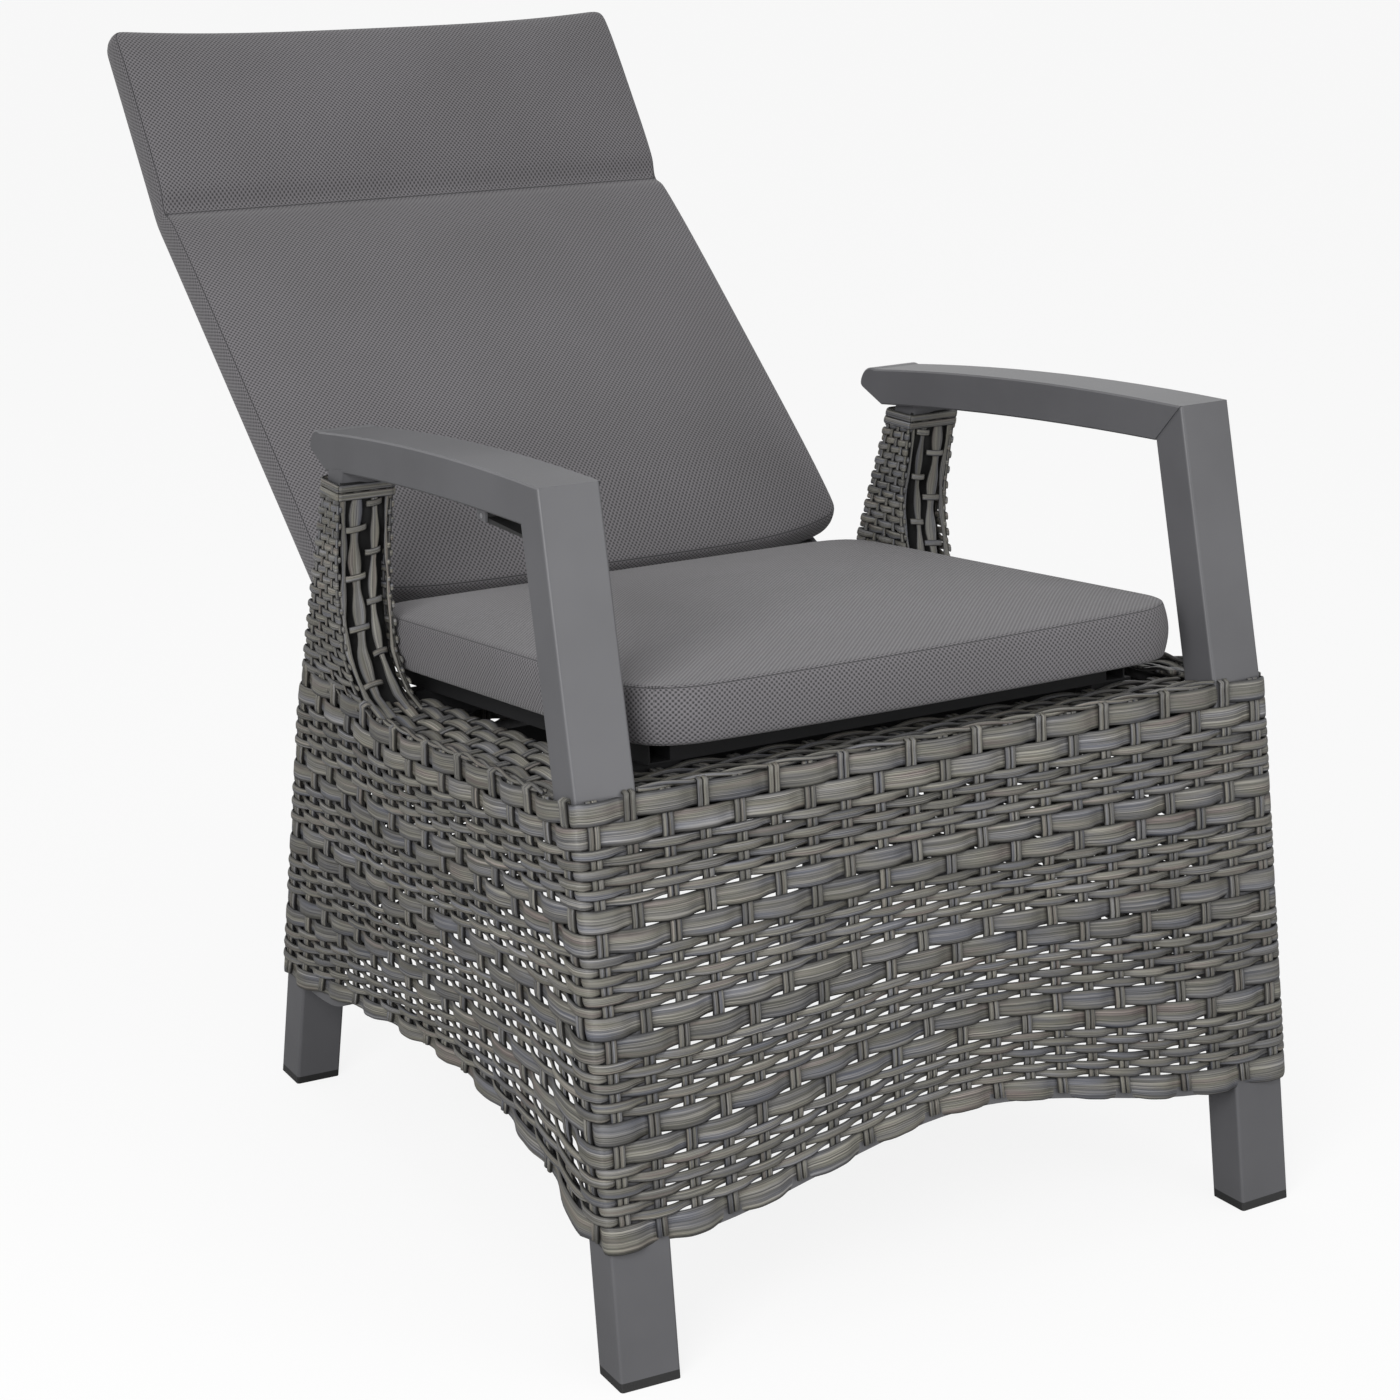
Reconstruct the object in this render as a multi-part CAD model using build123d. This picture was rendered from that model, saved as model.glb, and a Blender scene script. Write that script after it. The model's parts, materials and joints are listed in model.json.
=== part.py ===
"""Reclining garden armchair: bent aluminium side frames, a woven skirt, a woven backrest on a
pivot, a gas spring under the seat and two boxed cushions.

Millimetres. +Z is up and the front of the chair faces -Y, so the sitter's left hand is at +X.
The chair stands in its most reclined position. Everything is laid out from the front face of
the front feet, and the finished pieces are moved together so that the footprint is centred.
"""

import os
from math import atan2, cos, degrees, hypot, radians, sin, tan

from build123d import *

# Overall stance
outer_half_width = 318.0
side_taper = 2.2
overrun = 60.0
contact_gap = 0.3
soft_gap = 0.4

# Front leg, one bent tube from the floor to the mitre with the armrest
front_leg_width = 49.8
front_leg_depth = 36.6
front_bend_back = 66.0
front_bend_height = 436.0
arm_front_back = 119.5
arm_top_height = 652.4
tube_wall = 2.0
tube_round = 2.5

# Rear leg, bent the other way, from the floor to the underside of the armrest
rear_leg_width = 40.3
rear_leg_depth = 38.4
rear_foot_back = 675.0
rear_bend_back = 588.5
rear_bend_height = 372.0
rear_top_back = 496.5
rear_top_drop = 68.4
rear_top_height = arm_top_height - rear_top_drop
rear_bend_radius = 160.0

# Armrest, a crowned tube with a rounded rear end
arm_width = 51.2
arm_length = 409.0
arm_drop = 34.0
arm_crown = 6.0
arm_depth = 32.4
arm_nose_reach = 21.0
arm_nose_drop = 18.0
arm_heel_back = 518.0
arm_heel_drop = 64.4
arm_under_crown = 4.0
arm_corner_round = 5.0
arm_edge = 1.4
nose_share = 0.86
nose_drop_share = 0.36
arm_reach_share = 0.1

# Foot caps
cap_height = 7.0
cap_plug_height = 14.0
cap_fit = 0.2

# Woven work: flat strands in three layers, the stakes between two sets of rows
strand = 1.2
stake_width = 11.0
stake_pitch = 33.0
wide_row = 17.0
narrow_row = 14.6
row_gap = 1.5
row_pattern = (wide_row, wide_row, narrow_row, narrow_row, narrow_row)
skirt_bottom = 105.0
skirt_top = 435.0
front_skin_gap = 2.1
rear_skin_gap = 1.8
front_arch_rise = 40.0
rear_arch_rise = 38.0
rear_skirt_top = 330.0
side_arch_start = 55.0
side_arch_end = 612.0
side_arch_rise = 50.0
side_rim_height = 422.0
side_rim_end = 431.0
post_start_height = 432.0
arch_band_depth = 8.0
arch_band_width = 9.0
arch_shares = ((0.0, 0.0), (0.16, 0.76), (0.40, 1.0), (0.80, 0.46), (1.0, 0.0))
arch_entry_slope_share = 0.75

skin = 3 * strand

# Woven sleeve round the top of each rear leg
sleeve_wall = 3.4
sleeve_waist_reach = 41.0
sleeve_waist_share = 0.375
sleeve_front_gap = 4.0

# Rails between the legs
rail = 25.0
rail_wall = 2.0
rail_height = 404.5
rail_drop = 3.3
front_rail_set_back = 30.8
front_rail_back = rail_height * front_bend_back / front_bend_height + front_rail_set_back
seat_bar_set_back = 45.0
seat_bar_back = front_rail_back + seat_bar_set_back
crossbar_back = 235.0
rear_bar_back = 505.0
rear_rail_back = 575.0
rear_rail_height = 314.0
deck_front_depth = 56.0
deck_side_depth = 58.0
deck_row = 14.0

# Seat frame, webbing and cushion, tilted down towards the back
seat_tilt = 5.5
seat_front_back = 75.0
seat_bottom_height = 459.0
seat_length = 486.0
seat_side_clear = 68.0
seat_half_width = outer_half_width - seat_side_clear
seat_side_height = 44.0
seat_crown = 9.0
seat_corner = 55.0
seat_bow = 9.0
seat_seam = 8.0
seat_section_shares = ((1.0, 0.0), (0.3, 0.12), (0.0, 0.45), (0.3, 0.85), (1.0, 1.0))
seat_dome_shares = ((0.09, 0.38), (0.24, 0.78), (0.52, 1.0))
quarter_turn_share = 1 - cos(radians(45))
seat_bar = 20.0
seat_bar_wall = 1.5
seat_frame_inset_front = 50.0
seat_frame_length = 420.0
seat_overhang = 28.0
seat_frame_half_width = seat_half_width - seat_overhang
strap_thickness = 2.0
strap_width = 38.0
strap_pitch = 58.0
spacer_length = 40.0

# Backrest: a main part and a head part that leans less
back_start = (602.0, 473.0)
main_lean = 50.3
head_lean = 36.0
main_length = 437.0
head_length = 190.0
back_side_clear = 58.0
back_half_width = outer_half_width - back_side_clear
cushion_crown = 9.0
cushion_round = 10.0
channel_depth = 11.0
channel_half_width = 9.0
channel_wall_share = 0.38
cushion_end_draw = 3.0
cushion_side_draw = 5.0
cushion_side_sink = 6.0
back_section_shares = (
    (1.0, 1.0, 0.1),
    (0.985, 0.3, 0.2),
    (0.95, 0.0, 0.45),
    (0.8, 0.0, 0.85),
    (0.45, 0.0, 1.0),
)
back_overhang = 24.0
back_frame_half_width = back_half_width - back_overhang
back_tube = 25.0
back_tube_front = 36.0
back_wrap = 4.0
back_tail = 12.0
stile_stop = 16.0
back_weave_start = 58.0
back_row = 15.5
back_stake_pitch = 40.0

# Pivot, linkage and gas spring
pivot_back = 578.0
pivot_height = 412.0
recline_travel = 34.0
plate = 5.0
pin_radius = 5.0
pin_fit = 0.05
hinge_plate_width = 32.0
hinge_arm_inner = back_frame_half_width
washer = 1.6
bolt_head_radius = 8.0
bolt_head_height = 5.0
bolt_spacing = 34.0
bolt_radius = 3.0
bolt_reach = 14.0
crank_length = 60.0
crank_rest_angle = -30.0
crank_plate_width = 24.0
crank_gap = 17.0
spring_anchor_back = 235.0
spring_anchor_height = 356.0
cylinder_radius = 11.0
cylinder_wall = 1.5
cylinder_length = 196.0
cylinder_eye_reach = 26.0
eye_radius = 10.0
eye_width = 16.0
rod_radius = 5.0
piston_length = 12.0
rod_eye_play = 1.6
rod_eye_wall = 4.0
guide_length = 12.0
anchor_plate_width = 26.0

# Release lever under the right armrest
lever_back = 236.0
lever_length = 74.0
lever_width = 26.0
lever_thickness = 4.0
lever_boss_radius = 4.5
lever_pin_radius = 2.0
lever_bracket_wall = 2.0
lever_bracket_length = 13.5
lever_drop = 8.0

side_plane = Plane(
    origin=(outer_half_width, 0, 0),
    x_dir=(-sin(radians(side_taper)), cos(radians(side_taper)), 0),
    z_dir=(cos(radians(side_taper)), sin(radians(side_taper)), 0),
)


def half_width_at(back):
    """Distance from the middle of the chair to the outer face of a leg."""
    return outer_half_width - back * tan(radians(side_taper))


def side_prism(face, width, inset=0.0):
    """A piece of the left side: an outline seen from the side, thickened inwards."""
    return extrude(side_plane.offset(-inset) * face, amount=-width)


def long_edges(tube, axis, end_count):
    """The edges of both side faces of a prism, less the first one along an axis, or both ends."""
    edges = []
    for side in tube.faces().filter_by(Axis(side_plane.origin, side_plane.z_dir)):
        along = side.edges().sort_by(axis)
        edges += along[1:] if end_count == 1 else along[1:-1]
    return edges


def rolled(tube):
    """A leg's prism with its long edges rounded, as a rolled tube has them."""
    return fillet(long_edges(tube, Axis.Z, 2), tube_round)


def other_side(piece):
    """The right-hand twin of a left-hand piece."""
    return mirror(piece, about=Plane.YZ)


def both_sides(piece):
    """A left-hand piece and its right-hand twin as one group."""
    return Compound(children=solids_of(piece) + solids_of(other_side(piece)))


def solids_of(*pieces):
    """Every solid in the given pieces, as a flat list."""
    return [solid for piece in pieces for solid in piece.solids()]


def group(*pieces):
    """Separate solids that share one node."""
    return Compound(children=solids_of(*pieces))


def outline(points):
    """A closed face through straight edges."""
    return make_face(Polyline(*points, close=True))


def pin_between(back, height, start, length, radius):
    """A round pin along X that starts at one side position."""
    circle = Plane.YZ.offset(start) * Pos(back, height) * Circle(radius)
    return extrude(circle, amount=length)


def slot_face(start, end, width):
    """A plate outline with round ends about two centres."""
    middle = Pos((start[0] + end[0]) / 2, (start[1] + end[1]) / 2)
    length = hypot(end[0] - start[0], end[1] - start[1])
    angle = degrees(atan2(end[1] - start[1], end[0] - start[0]))
    return middle * Rot(0, 0, angle) * SlotCenterToCenter(length, width)


def disc(centre, radius):
    """A round face in the plane of travel."""
    return Pos(centre[0], centre[1]) * Circle(radius)


# Armrest outline, shared by the armrest, the legs that end on it and the sleeves

arm_inner_height = arm_top_height - arm_depth
arm_slope = (arm_top_height - front_bend_height) / (arm_front_back - front_bend_back)
arm_corner = (arm_front_back, arm_top_height)
arm_inner_corner = (
    front_bend_back + front_leg_depth + (arm_inner_height - front_bend_height) / arm_slope,
    arm_inner_height,
)
arm_top_end = (arm_front_back + arm_length, arm_top_height - arm_drop)
arm_heel = (arm_heel_back, arm_top_height - arm_heel_drop)


def arm_underside():
    """The slightly arched line under the armrest, from the mitre to the heel."""
    middle_back = (arm_inner_corner[0] + arm_heel[0]) / 2
    middle_height = (arm_inner_corner[1] + arm_heel[1]) / 2 + arm_under_crown
    return ThreePointArc(arm_inner_corner, (middle_back, middle_height), arm_heel)


def run_on(arc, share):
    """An arc that starts a share of its length before its own start."""
    return ThreePointArc(arc @ -share, arc @ 0.5, arc @ 1)


def arm_face(wall=0.0, reach_share=0.0):
    """The armrest from the side: mitre, crown, rounded nose and slanted heel.

    It can be thinned by a wall, or run on past the mitre by a share of its length.
    """
    crown_back = (arm_corner[0] + arm_top_end[0]) / 2
    crown_height = (arm_corner[1] + arm_top_end[1]) / 2 + arm_crown
    nose_end = (arm_top_end[0] + arm_nose_reach, arm_top_end[1] - arm_nose_drop)
    nose_middle = (
        arm_top_end[0] + arm_nose_reach * nose_share,
        arm_top_end[1] - arm_nose_drop * nose_drop_share,
    )
    crown = run_on(ThreePointArc(arm_corner, (crown_back, crown_height), arm_top_end), reach_share)
    underside = run_on(arm_underside(), reach_share)
    face = make_face(
        [
            crown,
            ThreePointArc(arm_top_end, nose_middle, nose_end),
            Line(nose_end, arm_heel),
            underside,
            Line(underside @ 0, crown @ 0),
        ]
    )
    if wall:
        face = offset(face, amount=-wall, kind=Kind.INTERSECTION)
    rear_corners = face.vertices().sort_by(Axis.X)[2:]
    return fillet(rear_corners, arm_corner_round - wall)


def above_arm_face():
    """Everything above the armrest's underside, for trimming what stands under it."""
    ceiling = arm_top_height + overrun
    far = arm_heel[0] + overrun
    return make_face(
        [
            arm_underside(),
            Line(arm_heel, (far, arm_heel[1])),
            Line((far, arm_heel[1]), (far, ceiling)),
            Line((far, ceiling), (arm_inner_corner[0], ceiling)),
            Line((arm_inner_corner[0], ceiling), arm_inner_corner),
        ]
    )


def before_mitre_face():
    """Everything in front of the mitre, for cutting the armrest's end."""
    run = (arm_inner_corner[0] - arm_corner[0], arm_inner_corner[1] - arm_corner[1])
    above = (arm_corner[0] - run[0], arm_corner[1] - run[1])
    below = (arm_inner_corner[0] + run[0], arm_inner_corner[1] + run[1])
    front = arm_corner[0] - arm_length
    return outline([above, below, (front, below[1]), (front, above[1])])


def armrest():
    """Left armrest tube, open at the mitre where it is welded to the leg."""
    blank = side_prism(arm_face(0, arm_reach_share), arm_width)
    blank = chamfer(long_edges(blank, Axis.Y, 1), arm_edge)
    shell = blank - side_prism(before_mitre_face(), arm_width + 2 * overrun, -overrun)
    core = side_prism(arm_face(tube_wall), arm_width - 2 * tube_wall, tube_wall)
    mouth_face = outline(
        [
            (arm_corner[0], arm_corner[1] - 2 * tube_wall),
            (arm_corner[0] + rail, arm_corner[1] - 2 * tube_wall),
            (arm_inner_corner[0] + rail, arm_inner_corner[1] + tube_wall),
            (arm_inner_corner[0], arm_inner_corner[1] + tube_wall),
        ]
    )
    mouth = side_prism(mouth_face, arm_width - 2 * tube_wall, tube_wall)
    return shell - core - (mouth & shell)


def front_leg_face(wall=0.0, reach=0.0):
    """The front leg from the side, optionally thinned by a wall and run past both ends."""
    slope_low = front_bend_back / front_bend_height
    depth = front_leg_depth - wall
    top_front = (arm_corner[0] + reach / arm_slope, arm_corner[1] + reach)
    top_rear = (arm_inner_corner[0] + reach / arm_slope, arm_inner_corner[1] + reach)
    return outline(
        [
            (wall - reach * slope_low, -reach),
            (front_bend_back + wall, front_bend_height),
            (top_front[0] + wall, top_front[1]),
            (top_rear[0] - wall, top_rear[1]),
            (front_bend_back + depth, front_bend_height),
            (depth - reach * slope_low, -reach),
        ]
    )


def rear_leg_face(wall=0.0, reach=0.0):
    """The rear leg from the side: it splays back to the floor and leans forward to the arm."""
    slope_low = (rear_foot_back - rear_bend_back) / rear_bend_height
    slope_high = (rear_bend_back - rear_top_back) / (rear_top_height - rear_bend_height)
    top_height = rear_top_height + overrun
    top_back = rear_top_back - overrun * slope_high
    face = outline(
        [
            (rear_foot_back - wall + reach * slope_low, -reach),
            (rear_bend_back - wall, rear_bend_height),
            (top_back - wall, top_height),
            (top_back - rear_leg_depth + wall, top_height),
            (rear_bend_back - rear_leg_depth + wall, rear_bend_height),
            (rear_foot_back - rear_leg_depth + wall + reach * slope_low, -reach),
        ]
    )
    bends = [v for v in face.vertices() if abs(v.Y - rear_bend_height) < contact_gap]
    return fillet(bends, rear_bend_radius)


def floor_band(height):
    """A wide face from well below the floor up to a height, for cutting feet and caps."""
    far = rear_foot_back + overrun
    return outline([(-overrun, -overrun), (far, -overrun), (far, height), (-overrun, height)])


def hollow_leg(face, long_face, inner_face, width):
    """A leg tube with its wall, open below where the foot cap plugs in."""
    outside = rolled(side_prism(long_face, width))
    shell = outside & side_prism(face - floor_band(cap_height), width)
    return shell - side_prism(inner_face, width - 2 * tube_wall, tube_wall)


def front_leg():
    """Left front leg."""
    long_face = front_leg_face(0, overrun)
    return hollow_leg(front_leg_face(), long_face, front_leg_face(tube_wall, overrun), front_leg_width)


def rear_leg():
    """Left rear leg, trimmed to the underside of the armrest."""
    face = rear_leg_face() - above_arm_face()
    long_face = rear_leg_face(0, overrun)
    return hollow_leg(face, long_face, rear_leg_face(tube_wall, overrun), rear_leg_width)


def foot_cap(face, inner_face, width):
    """Plastic cap under one leg, with a plug that fits inside the tube."""
    outside = rolled(side_prism(face, width))
    shoe = outside & side_prism(face & (floor_band(cap_height) - floor_band(0)), width)
    plug_face = inner_face & (floor_band(cap_plug_height) - floor_band(0))
    plug = side_prism(plug_face, width - 2 * (tube_wall + cap_fit), tube_wall + cap_fit)
    return shoe + plug


def foot_caps():
    """The four foot caps."""
    fit = tube_wall + cap_fit
    front = foot_cap(front_leg_face(0, overrun), front_leg_face(fit, overrun), front_leg_width)
    rear = foot_cap(rear_leg_face(0, overrun), rear_leg_face(fit, overrun), rear_leg_width)
    return group(both_sides(front), both_sides(rear))


# Woven work


def row_bands(bottom, top, pattern=row_pattern):
    """Heights of the rows from the top edge down, as (low, high) pairs."""
    bands = []
    edge = top
    count = 0
    while edge - pattern[count % len(pattern)] > bottom - pattern[count % len(pattern)]:
        height = pattern[count % len(pattern)]
        bands.append((edge - height + row_gap, edge))
        edge -= height
        count += 1
    return bands


def stake_places(start, end, pitch=stake_pitch):
    """Even places for the stakes between two edges."""
    count = max(2, round((end - start) / pitch))
    step = (end - start - stake_width) / (count - 1)
    return [start + stake_width / 2 + step * number for number in range(count)]


def strips(face, box):
    """The part of a sheet's outline inside one strip, as faces, or nothing."""
    low_x, high_x, low_y, high_y = box
    strip = Pos((low_x + high_x) / 2, (low_y + high_y) / 2) * Rectangle(high_x - low_x, high_y - low_y)
    return (face & strip).faces()


def woven_sheet(plane, face, stakes, bands):
    """Stakes in a middle layer, with the rows laid in turn before and behind them."""
    box = face.bounding_box()
    pieces = []
    for number, (low, high) in enumerate(bands):
        layer = plane.offset(strand * 2 * (number % 2))
        for strip in strips(face, (box.min.X, box.max.X, low, high)):
            pieces.append(extrude(layer * strip, amount=strand))
    for place in stakes:
        edges = (place - stake_width / 2, place + stake_width / 2, box.min.Y, box.max.Y)
        for strip in strips(face, edges):
            pieces.append(extrude(plane.offset(strand) * strip, amount=strand))
    return group(*pieces)


def bell_arch(half, low, rise):
    """An arch along a skirt's bottom edge that runs out level at both legs."""
    return Spline(
        (-half, low),
        (0, low + rise),
        (half, low),
        tangents=[(1, 0), (1, 0), (1, 0)],
        tangent_scalars=[1, 1, 1],
    )


def skirt_face(low_half, high_half, low, high, arch_half, rise):
    """Front or rear skirt in its own plane, with an arched bottom edge."""
    return make_face(
        [
            Line((-high_half, high), (-low_half, low)),
            Line((-low_half, low), (-arch_half, low)),
            bell_arch(arch_half, low, rise),
            Line((arch_half, low), (low_half, low)),
            Line((low_half, low), (high_half, high)),
            Line((high_half, high), (-high_half, high)),
        ]
    )


front_lean = atan2(front_bend_back, front_bend_height)
front_plane = Plane(
    origin=(0, -front_skin_gap, 0),
    x_dir=(1, 0, 0),
    z_dir=(0, -cos(front_lean), sin(front_lean)),
)
rear_lean = atan2(rear_foot_back - rear_bend_back, rear_bend_height)
rear_plane = Plane(
    origin=(0, rear_foot_back + rear_skin_gap, 0),
    x_dir=(-1, 0, 0),
    z_dir=(0, cos(rear_lean), sin(rear_lean)),
)


def front_skirt_face():
    """Outline of the front skirt, as wide as the side faces allow at each height."""
    low = skirt_bottom / cos(front_lean)
    high = skirt_top / cos(front_lean)
    low_half = half_width_at(skirt_bottom * tan(front_lean)) - contact_gap
    high_half = half_width_at(skirt_top * tan(front_lean)) - contact_gap
    arch_half = outer_half_width - front_leg_width
    return skirt_face(low_half, high_half, low, high, arch_half, front_arch_rise)


def rear_skirt_face():
    """Outline of the rear skirt, lower than the front to leave room for the linkage."""
    low = skirt_bottom / cos(rear_lean)
    high = rear_skirt_top / cos(rear_lean)
    low_half = rear_skirt_half(skirt_bottom)
    high_half = rear_skirt_half(rear_skirt_top)
    return skirt_face(low_half, high_half, low, high, low_half - rear_leg_width, rear_arch_rise)


def rear_skirt_half(height):
    """Half the rear skirt's width at a height, just clear of the side skirts."""
    return half_width_at(rear_silhouette(height) + rear_skin_gap + skin) - contact_gap


def skirt(plane, face):
    """A front or rear skirt as woven rows and stakes."""
    box = face.bounding_box()
    return woven_sheet(
        plane, face, stake_places(box.min.X, box.max.X), row_bands(box.min.Y, box.max.Y)
    )


def side_arch(width=0.0):
    """The arch under a side skirt: steep at the front leg, long towards the rear leg."""
    span = side_arch_end - side_arch_start
    points = [
        (side_arch_start + along * span, skirt_bottom + width + up * side_arch_rise)
        for along, up in arch_shares
    ]
    return Spline(*points, tangents=[(1, arch_entry_slope_share), (1, 0)])


def rear_silhouette(height):
    """Back edge of the rear leg at a height, below its bend."""
    return rear_foot_back - (rear_foot_back - rear_bend_back) * height / rear_bend_height


def rear_silhouette_high(height):
    """Back edge of the rear leg at a height, above its bend."""
    rise = (height - rear_bend_height) / (rear_top_height - rear_bend_height)
    return rear_bend_back - (rear_bend_back - rear_top_back) * rise


def side_skirt_face():
    """Outline of a side skirt: arch, rear edge, dipped rim and front edge."""
    front_low = (skirt_bottom * tan(front_lean) - front_skin_gap - skin, skirt_bottom)
    front_high = (skirt_top * tan(front_lean) - front_skin_gap - skin, skirt_top)
    rear_low = (rear_silhouette(skirt_bottom) + rear_skin_gap + skin, skirt_bottom)
    rear_bend = (rear_bend_back + rear_skin_gap + skin, rear_bend_height)
    rear_high = (rear_silhouette_high(post_start_height) + rear_skin_gap + skin, post_start_height)
    rim = Spline(
        (side_rim_end, post_start_height),
        (side_rim_end - deck_side_depth, side_rim_height + strand),
        (crossbar_back + deck_side_depth, side_rim_height),
        (front_bend_back + deck_side_depth, side_rim_height + skin),
        front_high,
    )
    return make_face(
        [
            Line(front_high, front_low),
            Line(front_low, (side_arch_start, skirt_bottom)),
            side_arch(),
            Line((side_arch_end, skirt_bottom), rear_low),
            Line(rear_low, rear_bend),
            Line(rear_bend, rear_high),
            Line(rear_high, (side_rim_end, post_start_height)),
            rim,
        ]
    )


def side_skirt():
    """Left side skirt on the outer faces of the legs."""
    face = side_skirt_face()
    box = face.bounding_box()
    return woven_sheet(
        side_plane, face, stake_places(box.min.X, box.max.X), row_bands(box.min.Y, box.max.Y)
    )


def sleeve_face(wall=0.0, reach=0.0):
    """Woven sleeve round the post: upright above its waist, flaring forward into the rim."""
    low = post_start_height - reach
    high = rear_top_height + overrun
    front_low = (side_rim_end + wall - reach, low)
    waist_height = post_start_height + (rear_top_height - post_start_height) * sleeve_waist_share
    waist = (side_rim_end + sleeve_waist_reach + wall, waist_height)
    under_arm = (sleeve_front_at(rear_top_height) + wall, rear_top_height)
    front_high = (sleeve_front_at(high) + wall, high)
    outer = rear_skin_gap + skin - wall
    return make_face(
        [
            Spline(front_low, waist, under_arm, front_high),
            Line(front_high, (rear_silhouette_high(high) + outer, high)),
            Line((rear_silhouette_high(high) + outer, high), (rear_silhouette_high(low) + outer, low)),
            Line((rear_silhouette_high(low) + outer, low), front_low),
        ]
    )


def sleeve_front_at(height):
    """Front edge of the sleeve near its top, just clear of the leg inside it."""
    return rear_silhouette_high(height) - rear_leg_depth - sleeve_front_gap


def post_sleeve():
    """Left post sleeve, open below and against the armrest above."""
    width = rear_leg_width + 2 * skin
    shell = side_prism(sleeve_face() - above_arm_face(), width, -skin)
    core_width = width - 2 * (skin - contact_gap)
    core = side_prism(sleeve_face(sleeve_wall, overrun / 2), core_width, -contact_gap)
    return shell - core


def arch_bands():
    """Flat bars behind the bottom edges that the lowest strands are turned round."""
    front = bar_under(front_plane, front_skirt_face(), outer_half_width - front_leg_width, front_arch_rise)
    rear_half = rear_skirt_half(skirt_bottom) - rear_leg_width
    rear = bar_under(rear_plane, rear_skirt_face(), rear_half, rear_arch_rise)
    start = (side_arch_start, skirt_bottom)
    end = (side_arch_end, skirt_bottom)
    lift = arch_band_depth
    side_face = make_face(
        [
            side_arch(),
            Line(end, (end[0], end[1] + lift)),
            side_arch(lift),
            Line((start[0], start[1] + lift), start),
        ]
    )
    side_bar = side_prism(side_face, arch_band_width)
    side_bar = side_bar - side_prism(front_leg_face(), outer_half_width)
    side_bar = side_bar - side_prism(rear_leg_face(), outer_half_width)
    return group(front, rear, both_sides(side_bar))


def bar_under(plane, face, half, rise):
    """One flat bar that follows a skirt's arch between the legs."""
    low = face.bounding_box().min.Y
    inner_half = half - contact_gap - arch_band_width
    bar_face = make_face(
        [
            bell_arch(half, low, rise),
            Line((half, low), (half, low + arch_band_depth)),
            bell_arch(half, low + arch_band_depth, rise),
            Line((-half, low + arch_band_depth), (-half, low)),
        ]
    )
    window = Pos(0, low) * Rectangle(2 * inner_half, outer_half_width)
    return extrude(plane * (bar_face & window), amount=-arch_band_width)


def between_sides(inset):
    """The space between the inner faces of two side members."""
    far = rear_foot_back + overrun
    inset_across = inset / cos(radians(side_taper))
    near_half = half_width_at(-overrun) - inset_across
    far_half = half_width_at(far) - inset_across
    plan = outline([(-near_half, -overrun), (near_half, -overrun), (far_half, far), (-far_half, far)])
    return extrude(plan, amount=arm_top_height)


def cross_tube(back, height, inset, size=rail):
    """A square tube across the chair, cut to the faces it is welded to."""
    outer = Pos(0, back, height) * Box(2 * outer_half_width, size, size)
    hollow = size - 2 * rail_wall
    inner = Pos(0, back, height) * Box(2 * outer_half_width, hollow, hollow)
    return (outer - inner) & between_sides(inset)


def rail_line(back):
    """Height of the side rails' middle, which drops towards the back with the seat."""
    return rail_height - (back - front_rail_back) * tan(radians(rail_drop))


def side_rail_inset():
    """Inset of a side rail's outer face, so that it lies in the middle of the front leg."""
    return (front_leg_width - rail) / 2


def side_rail_face(height):
    """A side rail from the side, run well into both legs."""
    near, far = 0, rear_bend_back
    return outline(
        [
            (near, rail_line(near) - height / 2),
            (far, rail_line(far) - height / 2),
            (far, rail_line(far) + height / 2),
            (near, rail_line(near) + height / 2),
        ]
    )


def side_rail():
    """Left side rail from the front leg to the rear leg."""
    shell = side_prism(side_rail_face(rail), rail, side_rail_inset())
    hollow = rail - 2 * rail_wall
    core = side_prism(side_rail_face(hollow), hollow, side_rail_inset() + rail_wall)
    tube = shell - core - side_prism(front_leg_face(), outer_half_width)
    tube = tube - side_prism(rear_leg_face(), outer_half_width)
    return sorted(tube.solids(), key=lambda solid: solid.volume)[-1]


def deck():
    """Flat woven rim on the rails round the seat opening: a front strip and two side strips."""
    deck_height = rail_height + rail / 2
    front_edge = deck_height * tan(front_lean) + contact_gap
    half = half_width_at(front_edge + deck_front_depth) - front_leg_width - contact_gap
    front = outline(
        [
            (-half, front_edge),
            (half, front_edge),
            (half, front_edge + deck_front_depth),
            (-half, front_edge + deck_front_depth),
        ]
    )
    level = Plane.XY.offset(deck_height)
    bands = row_bands(front_edge, front_edge + deck_front_depth, (deck_row,))
    front_strip = woven_sheet(level, front, stake_places(-half, half), bands)
    side_start = front_bend_back + front_leg_depth + contact_gap
    side_level = Plane(
        origin=(outer_half_width, 0, deck_height),
        x_dir=side_plane.x_dir,
        z_dir=(0, 0, 1),
    )
    side = outline(
        [
            (side_start, 0),
            (side_rim_end, 0),
            (side_rim_end, deck_side_depth),
            (side_start, deck_side_depth),
        ]
    )
    side_bands = row_bands(0, deck_side_depth, (deck_row,))
    side_strip = woven_sheet(side_level, side, stake_places(side_start, side_rim_end), side_bands)
    return group(front_strip, both_sides(side_strip))


# Seat

seat_plane = Plane(
    origin=(0, seat_front_back, seat_bottom_height),
    x_dir=(1, 0, 0),
    z_dir=(0, sin(radians(seat_tilt)), cos(radians(seat_tilt))),
)


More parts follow.
